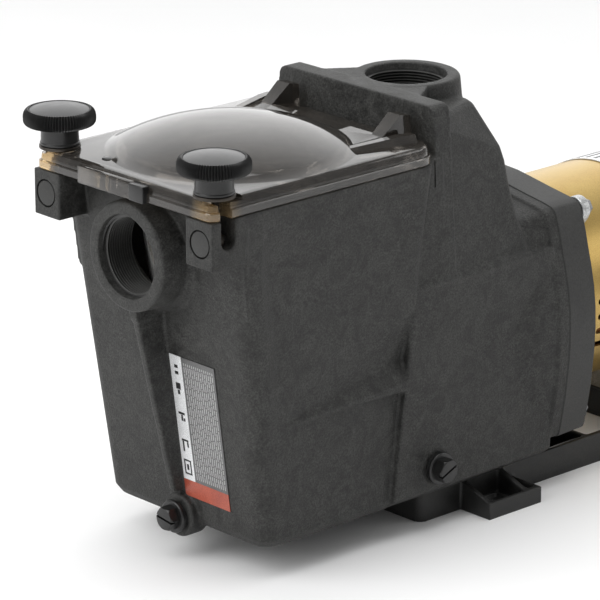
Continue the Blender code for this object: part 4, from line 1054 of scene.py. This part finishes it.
def canopy():
    """The motor's rear cap with its vents, and the ring where a cord would enter."""
    end_x = CANOPY_END_X
    profile = [(0, end_x), (64, end_x), (70, end_x - 0.8), (75, end_x - 3.2), (78.6, end_x - 7.4),
               (80.4, end_x - 12.5), (81.4, end_x - 19), (MOTOR_R, 580), (MOTOR_R, 576.3), (79.5, 576.3),
               (78, end_x - 16), (74, end_x - 6), (66, end_x - 2.5), (0, end_x - 2.5)]
    cap = turned("rear_canopy_pressed", profile, "X", SHAFT, SHELL_SEGMENTS, gold_mat)
    cut(cap, rod("entry_hole", 13.4, -100, -60, "Y", CONDUIT))
    for i in range(9):
        y = -40 + 10 * i
        reach = math.sqrt(54**2 - y**2) * 0.42
        for z in (SHAFT_Z - 14 - reach, SHAFT_Z + 14):
            slot = rounded_rect(y - 2.0, y + 2.0, z, z + reach, 1.9, 5)
            cut(cap, prism("vent", slot, "X", end_x - 8, end_x + 2))
    for side in (-1, 1):
        cut(cap, rod("screw_hole", 2.6, 600, 620, "X", (side * CANOPY_SCREW_Y, SHAFT_Z), SMALL))
    fixed(shade(cap, 28), "motor_gold", "rear_canopy")

    profile = [(10.5, -72), (13, -72), (13, -82.5), (17, -82.5), (17, -86.5), (10.5, -86.5)]
    entry = turned("conduit_entry_ring", profile, "Y", CONDUIT, MEDIUM, alloy_mat, 0.5)
    fixed(shade(entry), "cast_aluminium", "conduit_entry")


def corner_bolts():
    head = 389.6
    for name, place in zip(("low_right", "high_right", "low_left", "high_left"), corner_places()):
        profile = [(0, 333), (3.7, 333), (3.7, head), (8, head), (8, head + 1), (6.6, head + 1.2),
                   (0, head + 1.2)]
        bolt = turned("through_bolt_" + name, profile, "X", place, MEDIUM, zinc_mat, 0.2)
        nut = prism("nut", hexagon(place, 6.5), "X", head + 0.8, head + 6.4)
        bevel(nut, 0.5, 2, 30)
        add(bolt, nut)
        fixed(shade(bolt, 28), "steel", "corner_bolt_" + name)


def canopy_screws():
    head, tip = 616.3, 618.9
    for side, suffix in ((-1, "right"), (1, "left")):
        y = side * CANOPY_SCREW_Y
        profile = [(0, 566), (2.2, 566), (2.2, head), (4.6, head), (4.6, head + 1.0), (3.2, tip), (0, tip)]
        screw = turned("canopy_screw_head_" + suffix, profile, "X", (y, SHAFT_Z), MEDIUM, steel_mat, 0.3)
        cut(screw, box("slot", (tip - 1.3, 621), (y - 6, y + 6), (SHAFT_Z - 0.5, SHAFT_Z + 0.5)))
        fixed(shade(screw, 28), "steel", "canopy_screw_" + suffix)


def shell_patch(name, lift, x_range, a_range, steps, mat=None):
    """A curved sheet on the motor's shell, between two heights above it."""
    low, high = lift
    a0, a1 = a_range
    outline = arc(*SHAFT, MOTOR_R + low, a0, a1, steps) + arc(*SHAFT, MOTOR_R + high, a1, a0, steps)
    return prism(name, outline, "X", *x_range, mat)


def nameplate():
    """A plate on top of the motor, with plain bands for its print."""
    plate = shell_patch("motor_nameplate", (0.3, 0.9), (484, 556), (50, 112), 40, label_white_mat)
    fixed(shade(plate), "nameplate_silver", "nameplate")
    bands = [shell_patch("band", (0.7, 1.0), (x0, x1), (a0, a1), 8) for x0, x1, a0, a1 in (
        (488, 552, 104, 108), (488, 512, 92, 100), (516, 552, 96, 100), (516, 552, 92, 94),
        (488, 552, 84, 86), (488, 552, 78, 80), (488, 552, 72, 74), (488, 530, 66, 68),
        (488, 552, 54, 60))]
    fixed(joined("nameplate_bands", bands, label_black_mat), "nameplate_silver")


adapter()
front_bell()
motor_shell()
rear_bell()
canopy()
corner_bolts()
canopy_screws()
nameplate()


# ---------------------------------------------------------------- base
def foot(x0, side):
    """An outrigger with two sloping gussets, a framed anchor pocket and a small end pocket."""
    x1 = x0 + 56
    inner, outer = side * 73, side * 104.5
    pad = box("foot", (x0, x1), span(side, 73, 104.5), (0, 13))
    cut(pad, box("pocket", (x0 + 4.5, x0 + 39), span(side, 74, 100.5), (4, 20)),
        box("end_pocket", (x0 + 44, x1 - 3), span(side, 74, 99), (6, 20)))
    frame_bar = box("frame", (x0 + 10, x0 + 34), span(side, 77, 98), (3, 7.5))
    cut(frame_bar, box("frame_inside", (x0 + 13, x0 + 31), span(side, 80, 95), (2, 9)))
    add(pad, frame_bar)
    rib = [(inner, 2), (outer - side * 2, 2), (outer - side * 2, 12.8), (inner, BASE_TOP_Z - 0.3)]
    for x in (x0 + 0.05, x0 + 39):
        add(pad, prism("rib", rib, "X", x, x + 4.8))
    cut(pad, rod("anchor_hole", 5.2, -2, 10, "Z", (x0 + 22, side * 87.5)))
    return pad


def base():
    """The tray: three closed pockets and one that is open through the floor."""
    body = prism("mounting_base_moulding", rounded_rect(220, 566, -74, 74, 7), "Z", 0, BASE_TOP_Z, base_mat)
    for x0, x1, low in ((225, 286, 4), (314, 400, 4), (404.5, 488, -2), (534, 561, 4)):
        cut(body, box("pocket", (x0, x1), (-69, 69), (low, 30)))
    for x0 in (263, 506):
        for side in (-1, 1):
            add(body, foot(x0, side))
    for side in (-1, 1):
        place = (BASE_SCREW_X, side * BASE_SCREW_Y)
        cut(body, rod("screw_hole", 3.1, -2, 30, "Z", place), rod("screw_recess", 7, -2, 9, "Z", place))
    moulded(body, *BASE_GRID, 2)
    fixed(body, "base_plastic", "mounting_base")


base()


# ---------------------------------------------------------------- finishes of the CAD nodes that stay
FINISHES = (
    (rubber_mat, ("lid_gasket", "drain_plug_front_oring", "drain_plug_side_oring", "diffuser_oring",
                  "housing_gasket", "slinger")),
    (basket_mat, ("strainer_basket",)),
    (brass_mat, ("knob_insert_right", "knob_insert_left")),
    (wet_mat, ("diffuser", "impeller", "seal_plate", "fan", "switch_rotor", "run_capacitor")),
    (carbon_mat, ("rotary_seal",)),
    (ceramic_mat, ("seal_seat",)),
    (iron_mat, ("stator_core", "rotor_core")),
    (copper_mat, ("winding_front", "winding_rear")),
    (cradle_mat, ("motor_cradle",)),
    (steel_mat, ("wear_ring", "impeller_screw", "motor_shaft", "bearing_front", "bearing_rear",
                 "base_screw_right", "base_screw_left")),
)
for finish, nodes in FINISHES:
    for node in nodes:
        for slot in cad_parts[node].material_slots:
            slot.material = finish


# ---------------------------------------------------------------- stage, light and camera
def stage():
    floor_mat, tree, shader = new_material("studio_floor")
    cloud = noise(tree, object_place(tree), 3.0, 2.0)
    tree.links.new(ramp(tree, cloud, (0.3, 0.94), (0.7, 0.96)), shader.inputs["Base Color"])
    shader.inputs["Roughness"].default_value = 0.8
    shader.inputs["Specular IOR Level"].default_value = 0.1
    bm = bmesh.new()
    size, steps = 6.0, 24
    grid = [[bm.verts.new((size * (2 * i / steps - 1), size * (2 * j / steps - 1), 0.0))
             for j in range(steps + 1)] for i in range(steps + 1)]
    for i in range(steps):
        for j in range(steps):
            bm.faces.new((grid[i][j], grid[i + 1][j], grid[i + 1][j + 1], grid[i][j + 1]))
    new_object("studio_floor", bm, floor_mat)


def area_light(name, place, target, size, energy):
    light = bpy.data.lights.new(name, "AREA")
    light.shape = "RECTANGLE"
    light.size, light.size_y = size
    light.energy = energy
    lamp = bpy.data.objects.new(name, light)
    lamp.location = place
    lamp.rotation_euler = (Vector(target) - Vector(place)).to_track_quat("-Z", "Y").to_euler()
    bpy.context.collection.objects.link(lamp)


def lighting():
    world = bpy.data.worlds.new("studio")
    world.use_nodes = True
    tree = world.node_tree
    background = tree.nodes["Background"]
    path = tree.nodes.new("ShaderNodeLightPath")
    direction = tree.nodes.new("ShaderNodeTexCoord").outputs["Generated"]
    toward = compute(tree, "VectorMath", "DOT_PRODUCT", direction, Vector((0.62, 0.74, 0.25)).normalized())
    glow = remap(tree, toward, 0.45, 1.0, ROOM_LIGHT, BACK_LIGHT)
    glow.node.interpolation_type = "SMOOTHSTEP"
    strength = tree.nodes.new("ShaderNodeMix")
    tree.links.new(path.outputs["Is Camera Ray"], strength.inputs["Factor"])
    tree.links.new(glow, strength.inputs["A"])
    strength.inputs["B"].default_value = BACKDROP
    tree.links.new(strength.outputs["Result"], background.inputs["Strength"])
    background.inputs["Color"].default_value = (1.0, 1.0, 1.0, 1.0)
    bpy.context.scene.world = world
    area_light("key", (-2.4, 0.6, 1.9), (-0.1, 0, 0.15), (2.4, 2.2), 53)
    area_light("top", (-0.2, -0.2, 2.6), (0, 0, 0.2), (2.4, 2.0), 37)
    area_light("side", (2.2, -1.5, 1.3), (0.05, 0, 0.15), (1.2, 1.2), 8)
    bpy.context.scene.view_settings.view_transform = "Standard"


def camera():
    place, target = Vector((-2.06225, -2.08525, 1.10919)), Vector((-0.13443, 0.0, 0.16918))
    lens = bpy.data.cameras.new("camera")
    lens.sensor_width = 36
    lens.lens = 244.19
    lens.clip_end = 30
    eye = bpy.data.objects.new("camera", lens)
    eye.location = place
    eye.rotation_euler = (target - place).to_track_quat("-Z", "Y").to_euler()
    bpy.context.collection.objects.link(eye)
    bpy.context.scene.camera = eye


stage()
lighting()
camera()
